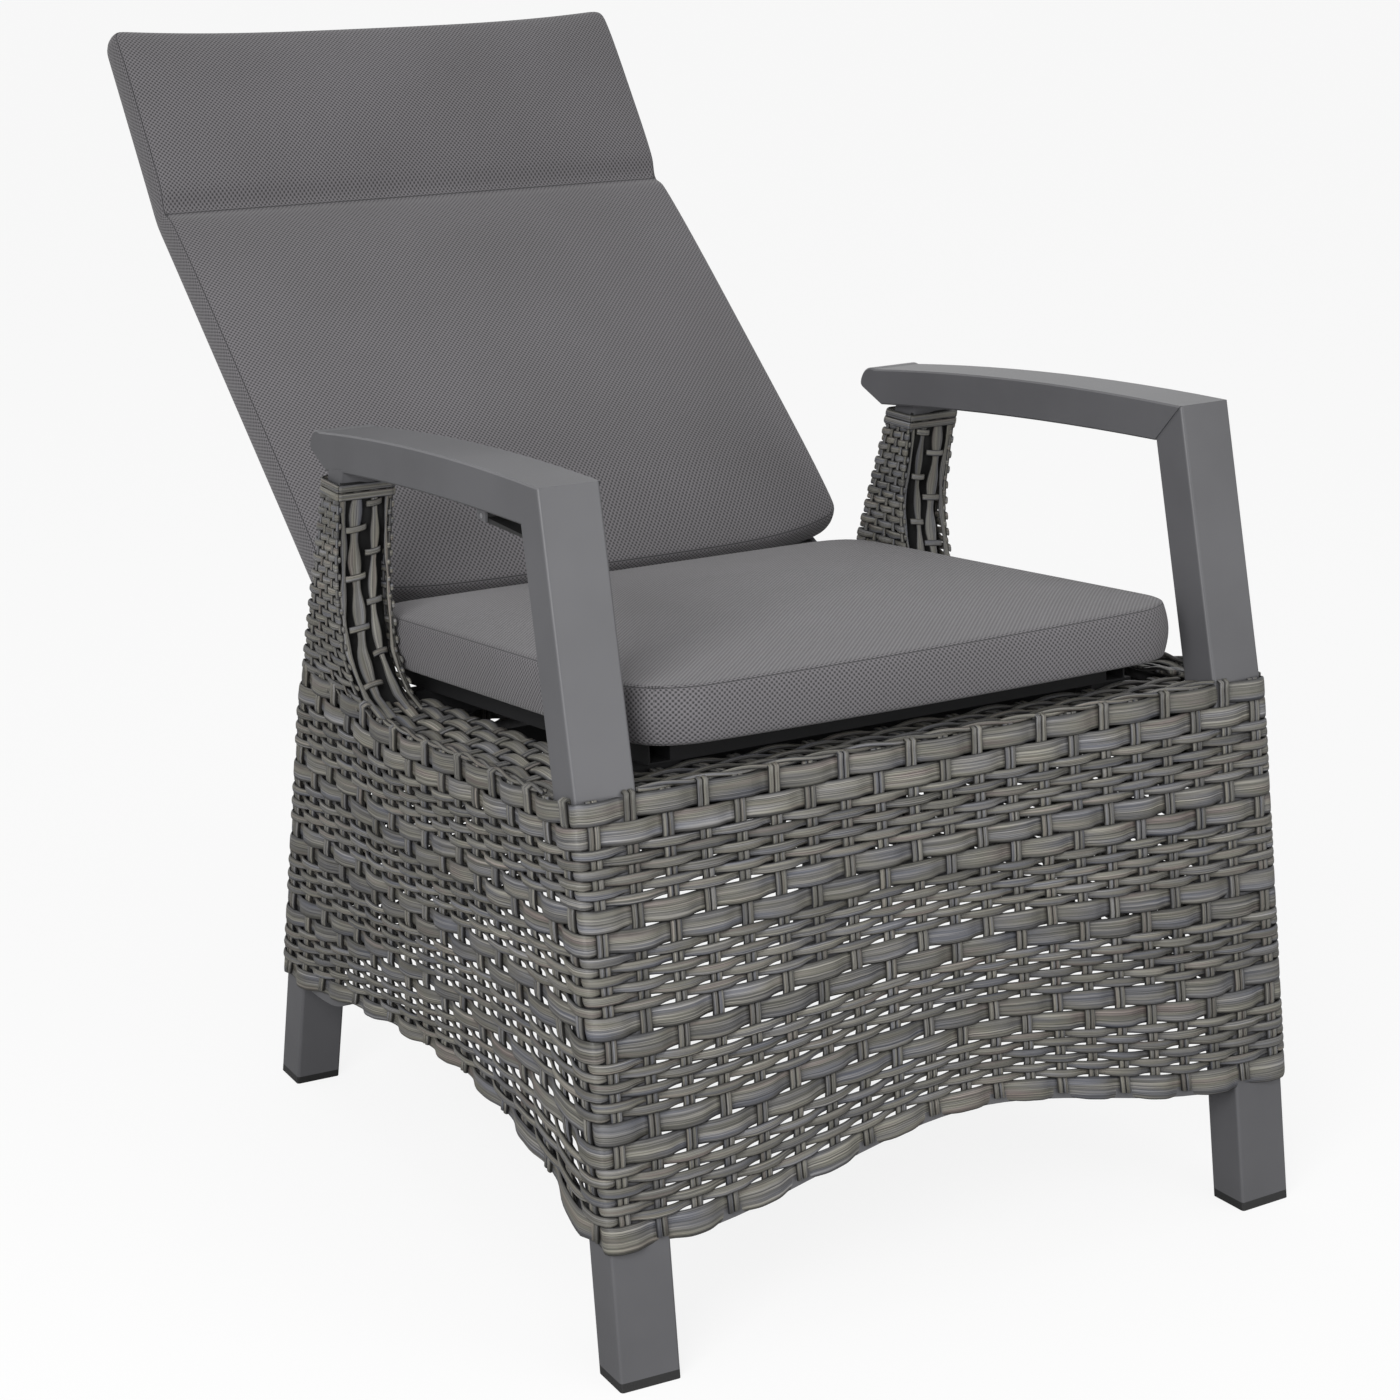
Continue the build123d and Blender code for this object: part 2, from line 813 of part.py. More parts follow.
def seat_plan(inset):
    """Plan of the seat cushion with round corners and a front edge that bows out."""
    half = seat_half_width - inset
    front = inset
    rear = seat_length - inset
    corner = max(seat_corner - inset, soft_gap)
    bow = seat_bow * half / seat_half_width
    nook = corner * quarter_turn_share
    return make_face(
        [
            ThreePointArc((-half + corner, front), (0, front - bow), (half - corner, front)),
            ThreePointArc((half - corner, front), (half - nook, front + nook), (half, front + corner)),
            Line((half, front + corner), (half, rear - corner)),
            ThreePointArc((half, rear - corner), (half - nook, rear - nook), (half - corner, rear)),
            Line((half - corner, rear), (-half + corner, rear)),
            ThreePointArc((-half + corner, rear), (-half + nook, rear - nook), (-half, rear - corner)),
            Line((-half, rear - corner), (-half, front + corner)),
            ThreePointArc((-half, front + corner), (-half + nook, front + nook), (-half + corner, front)),
        ]
    )


def seat_cushion():
    """Boxed cushion: sides drawn in at both seams, and a crowned top."""
    sections = [
        seat_plane.offset(seat_side_height * up) * seat_plan(seat_seam * drawn_in)
        for drawn_in, up in seat_section_shares
    ]
    for inset, up in seat_dome_shares:
        level = seat_plane.offset(seat_side_height + seat_crown * up)
        sections.append(level * seat_plan(seat_half_width * inset))
    return loft(sections, ruled=True)


def seat_straps():
    """Webbing straps across the seat frame."""
    count = int(seat_frame_length / strap_pitch)
    first = seat_frame_inset_front + (seat_frame_length - (count - 1) * strap_pitch) / 2
    straps = []
    for number in range(count):
        along = first + number * strap_pitch
        place = seat_plane * Pos(0, along, -soft_gap - strap_thickness / 2)
        straps.append(place * Box(2 * seat_frame_half_width, strap_width, strap_thickness))
    return group(*straps)


def seat_bar_level():
    """Distance of the seat frame's middle below the cushion."""
    return -soft_gap - strap_thickness - seat_bar / 2


def seat_tube(length, wall=seat_bar_wall):
    """A square tube along X, centred, with open ends."""
    hollow = seat_bar - 2 * wall
    return Box(length, seat_bar, seat_bar) - Box(length + overrun, hollow, hollow)


def seat_side_bars():
    """The two long bars of the seat frame."""
    middle = seat_frame_inset_front + seat_frame_length / 2
    across = seat_frame_half_width - seat_bar / 2
    bar = seat_plane * Pos(across, middle, seat_bar_level()) * Rot(0, 0, 90) * seat_tube(seat_frame_length)
    return both_sides(bar)


def seat_end_bars():
    """The front and rear bars of the seat frame."""
    length = 2 * (seat_frame_half_width - seat_bar)
    bars = []
    front = seat_frame_inset_front + seat_bar / 2
    rear = seat_frame_inset_front + seat_frame_length - seat_bar / 2
    for along in (front, rear):
        bars.append(seat_plane * Pos(0, along, seat_bar_level()) * seat_tube(length))
    return group(*bars)


def seat_spacers():
    """Blocks between the seat frame and the bars that carry it."""
    blocks = []
    frame_space = seat_plane * Pos(0, seat_length / 2, seat_bar_level() + seat_bar) * Box(
        2 * outer_half_width, 2 * seat_length, 3 * seat_bar
    )
    across = seat_frame_half_width - seat_bar / 2
    for back, size in ((seat_bar_back, rail), (rear_bar_back, seat_bar)):
        top = rail_line(back) + size / 2
        block = Pos(across, back, top + seat_bar / 2) * Box(spacer_length, seat_bar, seat_bar)
        blocks.append(both_sides(block - frame_space))
    return group(*blocks)


# Backrest places: a distance up the back and a depth behind the cushion's front seam

main_way = (sin(radians(main_lean)), cos(radians(main_lean)))
head_way = (sin(radians(head_lean)), cos(radians(head_lean)))
bend_turn = tan(radians(main_lean - head_lean) / 2)


def on_main(along, depth):
    """A point beside the straight main part."""
    return (
        back_start[0] + along * main_way[0] + depth * main_way[1],
        back_start[1] + along * main_way[1] - depth * main_way[0],
    )


def on_head(along, depth):
    """A point beside the head part, measured from the bend."""
    bend = on_main(main_length, 0)
    return (
        bend[0] + along * head_way[0] + depth * head_way[1],
        bend[1] + along * head_way[1] - depth * head_way[0],
    )


def at_bend(depth):
    """The corner where both parts meet at a depth."""
    return on_main(main_length + depth * bend_turn, depth)


def back_profile(start, end, near, far):
    """A strip of the backrest from the side, from near to far, bent at the head."""
    return outline(
        [
            on_main(start, near),
            at_bend(near),
            on_head(end, near),
            on_head(end, far),
            at_bend(far),
            on_main(start, far),
        ]
    )


def back_stile():
    """Left bent tube of the back frame."""
    near = back_tube_front
    far = back_tube_front + back_tube
    end = head_length - stile_stop
    shell_face = back_profile(-back_tail, end, near, far)
    hollow_face = back_profile(-back_tail - overrun, end + overrun, near + rail_wall, far - rail_wall)
    start = back_frame_half_width - back_tube
    shell = extrude(Plane.YZ.offset(start) * shell_face, amount=back_tube)
    hollow = extrude(Plane.YZ.offset(start + rail_wall) * hollow_face, amount=back_tube - 2 * rail_wall)
    return shell - hollow - bolt_holes()


def back_rail(centre, lean):
    """A square tube between the stiles, turned to the lean of the back there."""
    hollow = back_tube - 2 * rail_wall
    length = 2 * (back_frame_half_width - back_tube)
    tube = Box(length, back_tube, back_tube) - Box(length + overrun, hollow, hollow)
    return Pos(0, centre[0], centre[1]) * Rot(-lean, 0, 0) * tube


def rail_depth():
    """Depth of the middle of the back frame."""
    return back_tube_front + back_tube / 2


def main_plane(depth):
    """A plane on the main part at a depth, looking out towards the front."""
    origin = on_main(0, depth)
    return Plane(origin=(0, origin[0], origin[1]), x_dir=(1, 0, 0), z_dir=(0, -main_way[1], main_way[0]))


def head_plane(depth):
    """A plane on the head part at a depth, looking out towards the front."""
    origin = on_head(0, depth)
    return Plane(origin=(0, origin[0], origin[1]), x_dir=(1, 0, 0), z_dir=(0, -head_way[1], head_way[0]))


def back_weave():
    """Woven panel on the back frame: rows across, stakes up it, and wrapped stiles."""
    half = back_frame_half_width + back_wrap
    sheet_depth = back_tube_front - strand
    clear = skin * bend_turn + contact_gap
    main_top = main_length + sheet_depth * bend_turn - clear
    main_face = outline(
        [(-half, back_weave_start), (half, back_weave_start), (half, main_top), (-half, main_top)]
    )
    places = stake_places(-half, half, back_stake_pitch)
    main_sheet = woven_sheet(
        main_plane(back_tube_front), main_face, places, row_bands(back_weave_start, main_top, (back_row,))
    )
    head_low = -back_tube_front * bend_turn + clear
    head_top = head_length - stile_stop
    head_face = outline([(-half, head_low), (half, head_low), (half, head_top), (-half, head_top)])
    head_sheet = woven_sheet(
        head_plane(back_tube_front), head_face, places, row_bands(head_low, head_top, (back_row,))
    )
    return group(main_sheet, head_sheet, both_sides(stile_wrap()))


def stile_wrap():
    """Woven wrap round the outer, rear and inner faces of the left stile."""
    near = back_tube_front
    far = back_tube_front + back_tube + back_wrap
    end = head_length - stile_stop
    outer_face = back_profile(back_weave_start, end, near, far)
    inner_face = back_profile(-overrun, end + overrun, near - overrun, far - back_wrap)
    start = back_frame_half_width - back_tube
    shell = extrude(Plane.YZ.offset(start - back_wrap) * outer_face, amount=back_tube + 2 * back_wrap)
    shell = shell - extrude(Plane.YZ.offset(start) * inner_face, amount=back_tube)
    for centre, lean in back_rail_places():
        shell = shell - solid_rail(centre, lean)
    return shell


def back_rail_places():
    """Centre and lean of each rail across the back frame."""
    depth = rail_depth()
    return [
        (on_main(0, depth), main_lean),
        (on_main(main_length + depth * bend_turn - back_tube, depth), main_lean),
        (on_head(head_length - stile_stop - back_tube / 2, depth), head_lean),
    ]


def solid_rail(centre, lean):
    """The space that a back rail takes between the stiles."""
    length = 2 * (back_frame_half_width - back_tube)
    return Pos(0, centre[0], centre[1]) * Rot(-lean, 0, 0) * Box(length, back_tube, back_tube)


def cushion_face(draw, crown, sink):
    """Back cushion from the side: two crowned lobes with a sewn channel at the head seam."""
    corner = cushion_round
    nook = corner * quarter_turn_share
    rear = back_tube_front - skin - soft_gap
    low = draw
    top = head_length - draw
    lobe_end = main_length - channel_half_width
    lobe_middle = (low + corner + lobe_end) / 2
    roll_middle = (channel_half_width + top - corner) / 2
    wall_share = channel_half_width * channel_wall_share
    seam = at_bend(channel_depth + sink)
    part_way = sink + channel_depth * channel_wall_share
    return make_face(
        [
            Line(on_main(low + cushion_end_draw, rear), on_main(low, sink + corner)),
            ThreePointArc(
                on_main(low, sink + corner),
                on_main(low + nook, sink + nook),
                on_main(low + corner, sink),
            ),
            ThreePointArc(
                on_main(low + corner, sink),
                on_main(lobe_middle, sink - crown),
                on_main(lobe_end, sink),
            ),
            ThreePointArc(on_main(lobe_end, sink), on_main(main_length - wall_share, part_way), seam),
            ThreePointArc(seam, on_head(wall_share, part_way), on_head(channel_half_width, sink)),
            ThreePointArc(
                on_head(channel_half_width, sink),
                on_head(roll_middle, sink - crown),
                on_head(top - corner, sink),
            ),
            ThreePointArc(
                on_head(top - corner, sink),
                on_head(top - nook, sink + nook),
                on_head(top, sink + corner),
            ),
            Line(on_head(top, sink + corner), on_head(top - cushion_end_draw, rear)),
            Line(on_head(top - cushion_end_draw, rear), at_bend(rear)),
            Line(at_bend(rear), on_main(low + cushion_end_draw, rear)),
        ]
    )


def back_cushion():
    """One cushion for the back with a head roll, fuller in the middle than at its sides."""
    sections = []
    for share, drawn_in, full in back_section_shares:
        face = cushion_face(cushion_side_draw * drawn_in, cushion_crown * full, cushion_side_sink * drawn_in)
        sections.insert(len(sections) // 2, Plane.YZ.offset(-back_half_width * share) * face)
        sections.insert(len(sections) // 2 + 1, Plane.YZ.offset(back_half_width * share) * face)
    return loft(sections, ruled=True)


# Pivot and linkage

pivot = (pivot_back, pivot_height)


def crank_pin_at(turn):
    """Place of the crank pin when the back has turned forward by an angle."""
    angle = radians(crank_rest_angle + turn)
    return (pivot_back + crank_length * sin(angle), pivot_height - crank_length * cos(angle))


stile_foot = on_main(0, rail_depth())
stile_bolt = on_main(bolt_spacing, rail_depth())
anchor = (spring_anchor_back, spring_anchor_height)
hinge_arm_outer = hinge_arm_inner + plate
bracket_inner = hinge_arm_outer + washer + contact_gap


def hinge_arm():
    """Left steel arm from the pivot to the foot of the stile."""
    lower = slot_face(pivot, stile_foot, hinge_plate_width)
    upper = slot_face(stile_foot, stile_bolt, hinge_plate_width)
    face = lower + upper - disc(pivot, pin_radius + pin_fit)
    return extrude(Plane.YZ.offset(hinge_arm_inner) * face, amount=plate) - bolt_holes()


def bolt_holes():
    """Clearance holes for the hinge bolts through the arm and the stile's outer wall."""
    start = hinge_arm_outer - bolt_reach
    radius = bolt_radius + pin_fit
    return group(*[pin_between(*place, start, bolt_reach, radius) for place in (stile_foot, stile_bolt)])


def hinge_bolts():
    """Two domed bolts through each hinge arm into the stile."""
    bolts = []
    for place in (stile_foot, stile_bolt):
        head = pin_between(*place, hinge_arm_outer, bolt_head_height, bolt_head_radius)
        rim = head.edges().filter_by(GeomType.CIRCLE).sort_by(Axis.X)[-1]
        shank = pin_between(*place, hinge_arm_outer - bolt_reach, bolt_reach, bolt_radius)
        bolts.append(both_sides(fillet(rim, bolt_head_height / 2) + shank))
    return group(*bolts)


def hinge_bracket():
    """Left bracket welded to the inside of the rear leg, carrying the pivot behind it."""
    leg_middle = (pivot_back - rear_leg_depth, pivot_height)
    face = slot_face(leg_middle, pivot, hinge_plate_width) - disc(pivot, pin_radius + pin_fit)
    slab = extrude(Plane.YZ.offset(bracket_inner) * face, amount=rear_leg_width)
    return slab & between_sides(rear_leg_width)


def pivot_washers():
    """Nylon washers between the hinge arms and the brackets."""
    start = hinge_arm_outer + contact_gap / 2
    ring = pin_between(*pivot, start, washer, hinge_plate_width / 2)
    return both_sides(ring - pin_between(*pivot, start, washer, pin_radius + pin_fit))


def pivot_pins():
    """Headed pins that the back turns on."""
    start = hinge_arm_inner - contact_gap
    head = pin_between(*pivot, start - plate, plate, bolt_head_radius)
    shank = pin_between(*pivot, start, rear_leg_width, pin_radius) & between_sides(rear_leg_width)
    return both_sides(head + shank)


def crank_plates():
    """Two plates on the bottom rail of the back, reaching down to the gas spring."""
    pin = crank_pin_at(0)
    face = slot_face(stile_foot, pin, crank_plate_width)
    corner = back_rail_places()[0]
    face = face - disc(pin, pin_radius)
    slab = extrude(Plane.YZ.offset(crank_gap / 2) * face, amount=plate)
    return both_sides(slab - solid_rail(*corner))


def crank_pin():
    """Pin through both crank plates."""
    pin = crank_pin_at(0)
    reach = crank_gap / 2 + plate
    return pin_between(*pin, -reach, 2 * reach, pin_radius)


def spring_line(turn):
    """Length and angle from the spring's anchor to the crank pin at a turn of the back."""
    pin = crank_pin_at(turn)
    return (
        hypot(pin[0] - anchor[0], pin[1] - anchor[1]),
        degrees(atan2(pin[1] - anchor[1], pin[0] - anchor[0])),
    )


rest_length, rest_angle = spring_line(0)
full_length, full_angle = spring_line(recline_travel)
half_length, half_angle = spring_line(recline_travel / 2)
spring_stroke = full_length - rest_length
spring_swing = full_angle - rest_angle
sag_across = rest_length * sin(radians((rest_angle + full_angle) / 2 - half_angle))
sag_along = (rest_length + full_length) / 2 - half_length
eye_lift = -sag_across / 2
eye_shift = -sag_along / 2


def spring_place():
    """Moves a spring piece built along +X from the anchor onto the spring's line."""
    aim = rest_angle + degrees(eye_lift / rest_length)
    upright = Plane(origin=(0, anchor[0], anchor[1]), x_dir=(0, 1, 0), z_dir=(1, 0, 0))
    return upright.location * Rot(0, 0, aim)


def lying_rod(start, length, radius):
    """A round bar along the spring's line."""
    return Pos(start + length / 2, 0, 0) * Rot(0, 90, 0) * Cylinder(radius, length)


def eye(centre, outer, bore, width=eye_width):
    """A cross-drilled end fitting."""
    ring = Pos(centre, 0, 0) * Cylinder(outer, width)
    return ring - Pos(centre, 0, 0) * Cylinder(bore, width + overrun)


def gas_cylinder():
    """Pressure tube with its rod guide at one end and its eye at the other."""
    start = cylinder_eye_reach
    tube = lying_rod(start, cylinder_length, cylinder_radius)
    bore_radius = cylinder_radius - cylinder_wall
    bore = lying_rod(start + cylinder_wall, cylinder_length - cylinder_wall - guide_length, bore_radius)
    guide = lying_rod(start, cylinder_length + overrun, rod_radius + pin_fit)
    guide = guide & (Pos(start + cylinder_length, 0, 0) * Box(2 * guide_length + rail, rail, rail))
    neck = lying_rod(0, start, rod_radius + tube_wall)
    fitting = neck + Cylinder(eye_radius, eye_width)
    hole = Cylinder(pin_radius + pin_fit, eye_width + overrun)
    return spring_place() * (fitting + tube - bore - guide - hole)


def gas_rod():
    """Piston, rod and slotless eye with play about the crank pin."""
    eye_centre = rest_length + eye_shift
    eye_bore = pin_radius + rod_eye_play
    eye_outer = eye_bore + rod_eye_wall
    piston_start = cylinder_eye_reach + piston_length
    rod = lying_rod(piston_start, eye_centre - piston_start - eye_bore - rod_eye_wall / 2, rod_radius)
    piston = lying_rod(piston_start, piston_length, cylinder_radius - cylinder_wall - pin_fit)
    return spring_place() * (rod + piston + eye(eye_centre, eye_outer, eye_bore))


def anchor_plates():
    """Two plates under the crossbar that hold the fixed end of the gas spring."""
    top = rail_line(anchor[0]) - rail / 2
    face = slot_face(anchor, (anchor[0], top), anchor_plate_width)
    ceiling = Pos(anchor[0], top + overrun / 2) * Rectangle(2 * overrun, overrun)
    face = face - ceiling - disc(anchor, pin_radius)
    slab = extrude(Plane.YZ.offset(crank_gap / 2) * face, amount=plate)
    return both_sides(slab)


def anchor_pin():
    """Pin through the anchor plates and the cylinder's eye."""
    reach = crank_gap / 2 + plate
    return pin_between(*anchor, -reach, 2 * reach, pin_radius)


# Release lever

lever_across = -(half_width_at(lever_back) - arm_width / 2)


def arm_under_at(back):
    """Height of the armrest's underside: a straight line between its ends and a parabola on it."""
    share = (back - arm_inner_corner[0]) / (arm_heel[0] - arm_inner_corner[0])
    straight = arm_inner_corner[1] + (arm_heel[1] - arm_inner_corner[1]) * share
    off_middle = 2 * share - 1
    return straight + arm_under_crown * (1 - off_middle**2)


lever_pivot = (lever_back, arm_under_at(lever_back) - lever_drop)


def lever_bracket():
    """Small U-shaped clip screwed under the armrest."""
    inner = lever_width / 2 + contact_gap
    outer = inner + lever_bracket_wall
    height = lever_drop + lever_boss_radius
    body = Pos(lever_across, lever_back, lever_pivot[1] + lever_drop - height / 2 + strand) * Box(
        2 * outer, lever_bracket_length, height
    )
    slot_height = height - lever_bracket_wall - strand
    slot = Pos(lever_across, lever_back, lever_pivot[1] + lever_drop - height + slot_height / 2) * Box(
        2 * inner, lever_bracket_length + overrun, slot_height
    )
    hole = pin_between(*lever_pivot, lever_across - 2 * outer, 4 * outer, lever_pin_radius)
    arm = other_side(side_prism(arm_face(), arm_width))
    return body - slot - hole - arm


def release_lever():
    """Paddle that the fingers pull up against the armrest, with a boss on its pivot."""
    back, height = lever_pivot
    boss = disc(lever_pivot, lever_boss_radius)
    low = height - lever_boss_radius
    tip = (back - lever_length, low)
    blade = outline(
        [
            (back, low),
            tip,
            (tip[0] - lever_thickness, tip[1] + lever_thickness / 4),
            (tip[0], tip[1] + lever_thickness / 2),
            (back, low + lever_thickness),
        ]
    )
    face = boss + blade - disc(lever_pivot, lever_pin_radius + pin_fit)
    return extrude(Plane.YZ.offset(lever_across - lever_width / 2) * face, amount=lever_width)


def lever_pin():
    """Pin of the release lever."""
    reach = lever_width / 2 + contact_gap + lever_bracket_wall
    return pin_between(*lever_pivot, lever_across - reach, 2 * reach, lever_pin_radius)


def build_pieces():
    """Every piece of the chair by name, in the layout frame."""
    leg_inset = front_leg_width
    rail_reach = side_rail_inset() + rail
    back_rails = back_rail_places()
    pieces = {
        "left_front_leg": front_leg(),
        "left_rear_leg": rear_leg(),
        "left_armrest": armrest(),
        "left_side_rail": side_rail(),
        "left_side_skirt": side_skirt(),
        "left_post_sleeve": post_sleeve(),
        "left_hinge_bracket": hinge_bracket(),
        "left_hinge_arm": hinge_arm(),
        "left_back_stile": back_stile(),
    }
    for name in list(pieces):
        pieces[name.replace("left_", "right_")] = other_side(pieces[name])
    pieces.update(
        {
            "foot_caps": foot_caps(),
            "front_rail": cross_tube(front_rail_back, rail_height, leg_inset),
            "seat_front_bar": cross_tube(seat_bar_back, rail_line(seat_bar_back), rail_reach),
            "spring_crossbar": cross_tube(crossbar_back, rail_line(crossbar_back), rail_reach),
            "seat_rear_bar": cross_tube(rear_bar_back, rail_line(rear_bar_back), rail_reach, seat_bar),
            "rear_rail": cross_tube(rear_rail_back, rear_rail_height, rear_leg_width),
            "front_skirt": skirt(front_plane, front_skirt_face()),
            "rear_skirt": skirt(rear_plane, rear_skirt_face()),
            "skirt_arch_bands": arch_bands(),
            "woven_deck": deck(),
            "seat_side_bars": seat_side_bars(),
            "seat_end_bars": seat_end_bars(),
            "seat_spacers": seat_spacers(),
            "seat_straps": seat_straps(),
            "seat_cushion": seat_cushion(),
            "back_bottom_rail": back_rail(*back_rails[0]),
            "back_middle_rail": back_rail(*back_rails[1]),
            "back_top_rail": back_rail(*back_rails[2]),
            "back_weave": back_weave(),
            "back_cushion": back_cushion(),
            "hinge_bolts": hinge_bolts(),
            "pivot_washers": pivot_washers(),
            "pivot_pins": pivot_pins(),
            "crank_plates": crank_plates(),
            "crank_pin": crank_pin(),
            "gas_cylinder": gas_cylinder(),
            "gas_rod": gas_rod(),
            "anchor_plates": anchor_plates(),
            "anchor_pin": anchor_pin(),
            "lever_bracket": lever_bracket(),
            "release_lever": release_lever(),
            "lever_pin": lever_pin(),
        }
    )
    return pieces


def main():
    """Build, centre and write every piece, and print the places that joints need."""
    pieces = build_pieces()
    boxes = [piece.bounding_box() for piece in pieces.values()]
    middle = (min(box.min.Y for box in boxes) + max(box.max.Y for box in boxes)) / 2
    os.makedirs("parts", exist_ok=True)
    for name, piece in pieces.items():
        placed = Pos(0, -middle, 0) * group(piece)
        export_step(placed, f"parts/{name}.step")
    print("middle", round(middle, 4))
    print("pivot", round(pivot_back - middle, 4), pivot_height)
    print("crank pin", [round(value, 4) for value in crank_pin_at(0)])
    print("anchor", round(anchor[0] - middle, 4), anchor[1])
    print("spring stroke", round(spring_stroke, 4), "swing", round(spring_swing, 4))
    print("spring angle at rest", round(rest_angle + degrees(eye_lift / rest_length), 4))
    print("play needed", round(hypot(eye_lift, eye_shift), 3), "of", rod_eye_play)
    print("lever pivot", round(lever_across, 4), round(lever_pivot[0] - middle, 4), round(lever_pivot[1], 4))


if __name__ == "__main__":
    main()
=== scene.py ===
"""Looks of a reclining garden armchair: woven resin, powder coated tube and two cushions.

Sizes inside this file are millimetres in the maker's layout, with Y measured back from the front
face of the front feet and Z up from the floor. to_frame() turns them into metres in the frame.
"""

import json
import logging
import math
from dataclasses import dataclass, field
from enum import Enum
from typing import Callable, Union

import bmesh
import bpy
import numpy as np
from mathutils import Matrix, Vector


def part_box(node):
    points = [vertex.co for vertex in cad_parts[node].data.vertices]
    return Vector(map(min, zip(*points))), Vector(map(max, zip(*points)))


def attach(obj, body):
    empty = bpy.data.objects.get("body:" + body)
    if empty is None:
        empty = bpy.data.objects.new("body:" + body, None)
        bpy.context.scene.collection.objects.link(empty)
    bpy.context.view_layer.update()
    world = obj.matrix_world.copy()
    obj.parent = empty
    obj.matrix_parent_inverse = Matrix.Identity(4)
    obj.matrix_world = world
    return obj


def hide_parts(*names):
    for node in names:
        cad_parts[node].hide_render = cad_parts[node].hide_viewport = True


logging.basicConfig(level=logging.INFO, format="%(name)s: %(message)s")
log = logging.getLogger("armchair")

Array = np.ndarray
Colour = tuple[float, float, float]
Value = Union[bpy.types.NodeSocket, float, tuple]
SEED = 7
MM = 0.001
# How far the back's pivot lies behind the front face of the front feet, in millimetres
PIVOT_BACK = 578.0

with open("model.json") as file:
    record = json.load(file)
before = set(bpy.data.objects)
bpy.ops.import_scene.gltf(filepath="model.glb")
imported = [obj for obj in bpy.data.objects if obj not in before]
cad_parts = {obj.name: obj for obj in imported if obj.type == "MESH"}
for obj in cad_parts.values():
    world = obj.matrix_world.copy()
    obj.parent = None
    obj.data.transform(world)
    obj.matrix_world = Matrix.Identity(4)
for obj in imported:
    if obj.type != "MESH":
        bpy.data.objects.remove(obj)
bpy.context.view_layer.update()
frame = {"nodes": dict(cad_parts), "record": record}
pin_low, pin_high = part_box("pivot_pins")
front_of_feet = (pin_low.y + pin_high.y) / 2.0 - PIVOT_BACK * MM


def to_frame(points: Array) -> Array:
    """Layout millimetres to frame metres.

    Args:
        points: places as rows of x, y, z.

    Returns:
        The same places in metres, moved back by the chair's own centring.
    """
    moved = np.asarray(points, float) * MM
    moved[..., 1] += front_of_feet
    return moved


def unit(vectors: Array) -> Array:
    """Each row divided by its length."""
    return vectors / np.maximum(np.linalg.norm(vectors, axis=-1, keepdims=True), 1e-9)


def smooth(share: Array) -> Array:
    """Ease from 0 to 1: three times the square less twice the cube of the clipped share."""
    share = np.clip(share, 0.0, 1.0)
    return share * share * (3.0 - 2.0 * share)


def sharp_wave(wave: Array, power: float = 0.75) -> Array:
    """A wave from -1 to 1 with fuller tops: its size to a power, with its sign kept."""
    return np.sign(wave) * np.abs(wave) ** power


class Slot(Enum):
    """Material slots of the record that the pieces take their finish from."""

    METAL = "powder_coated_aluminium"
    WEAVE = "woven_resin"
    CLOTH = "cushion_cloth"
    WEBBING = "webbing"
    PLASTIC = "black_plastic"
    STEEL = "bright_steel"
    SPRING = "spring_black"
    CHROME = "rod_chrome"


class Side(Enum):
    """A side of the chair as the sitter names it, with the sign of its X."""

    LEFT = 1.0
    RIGHT = -1.0

    @property
    def word(self) -> str:
        """The side's name in the record's node names."""
        return self.name.lower()


# Finishes


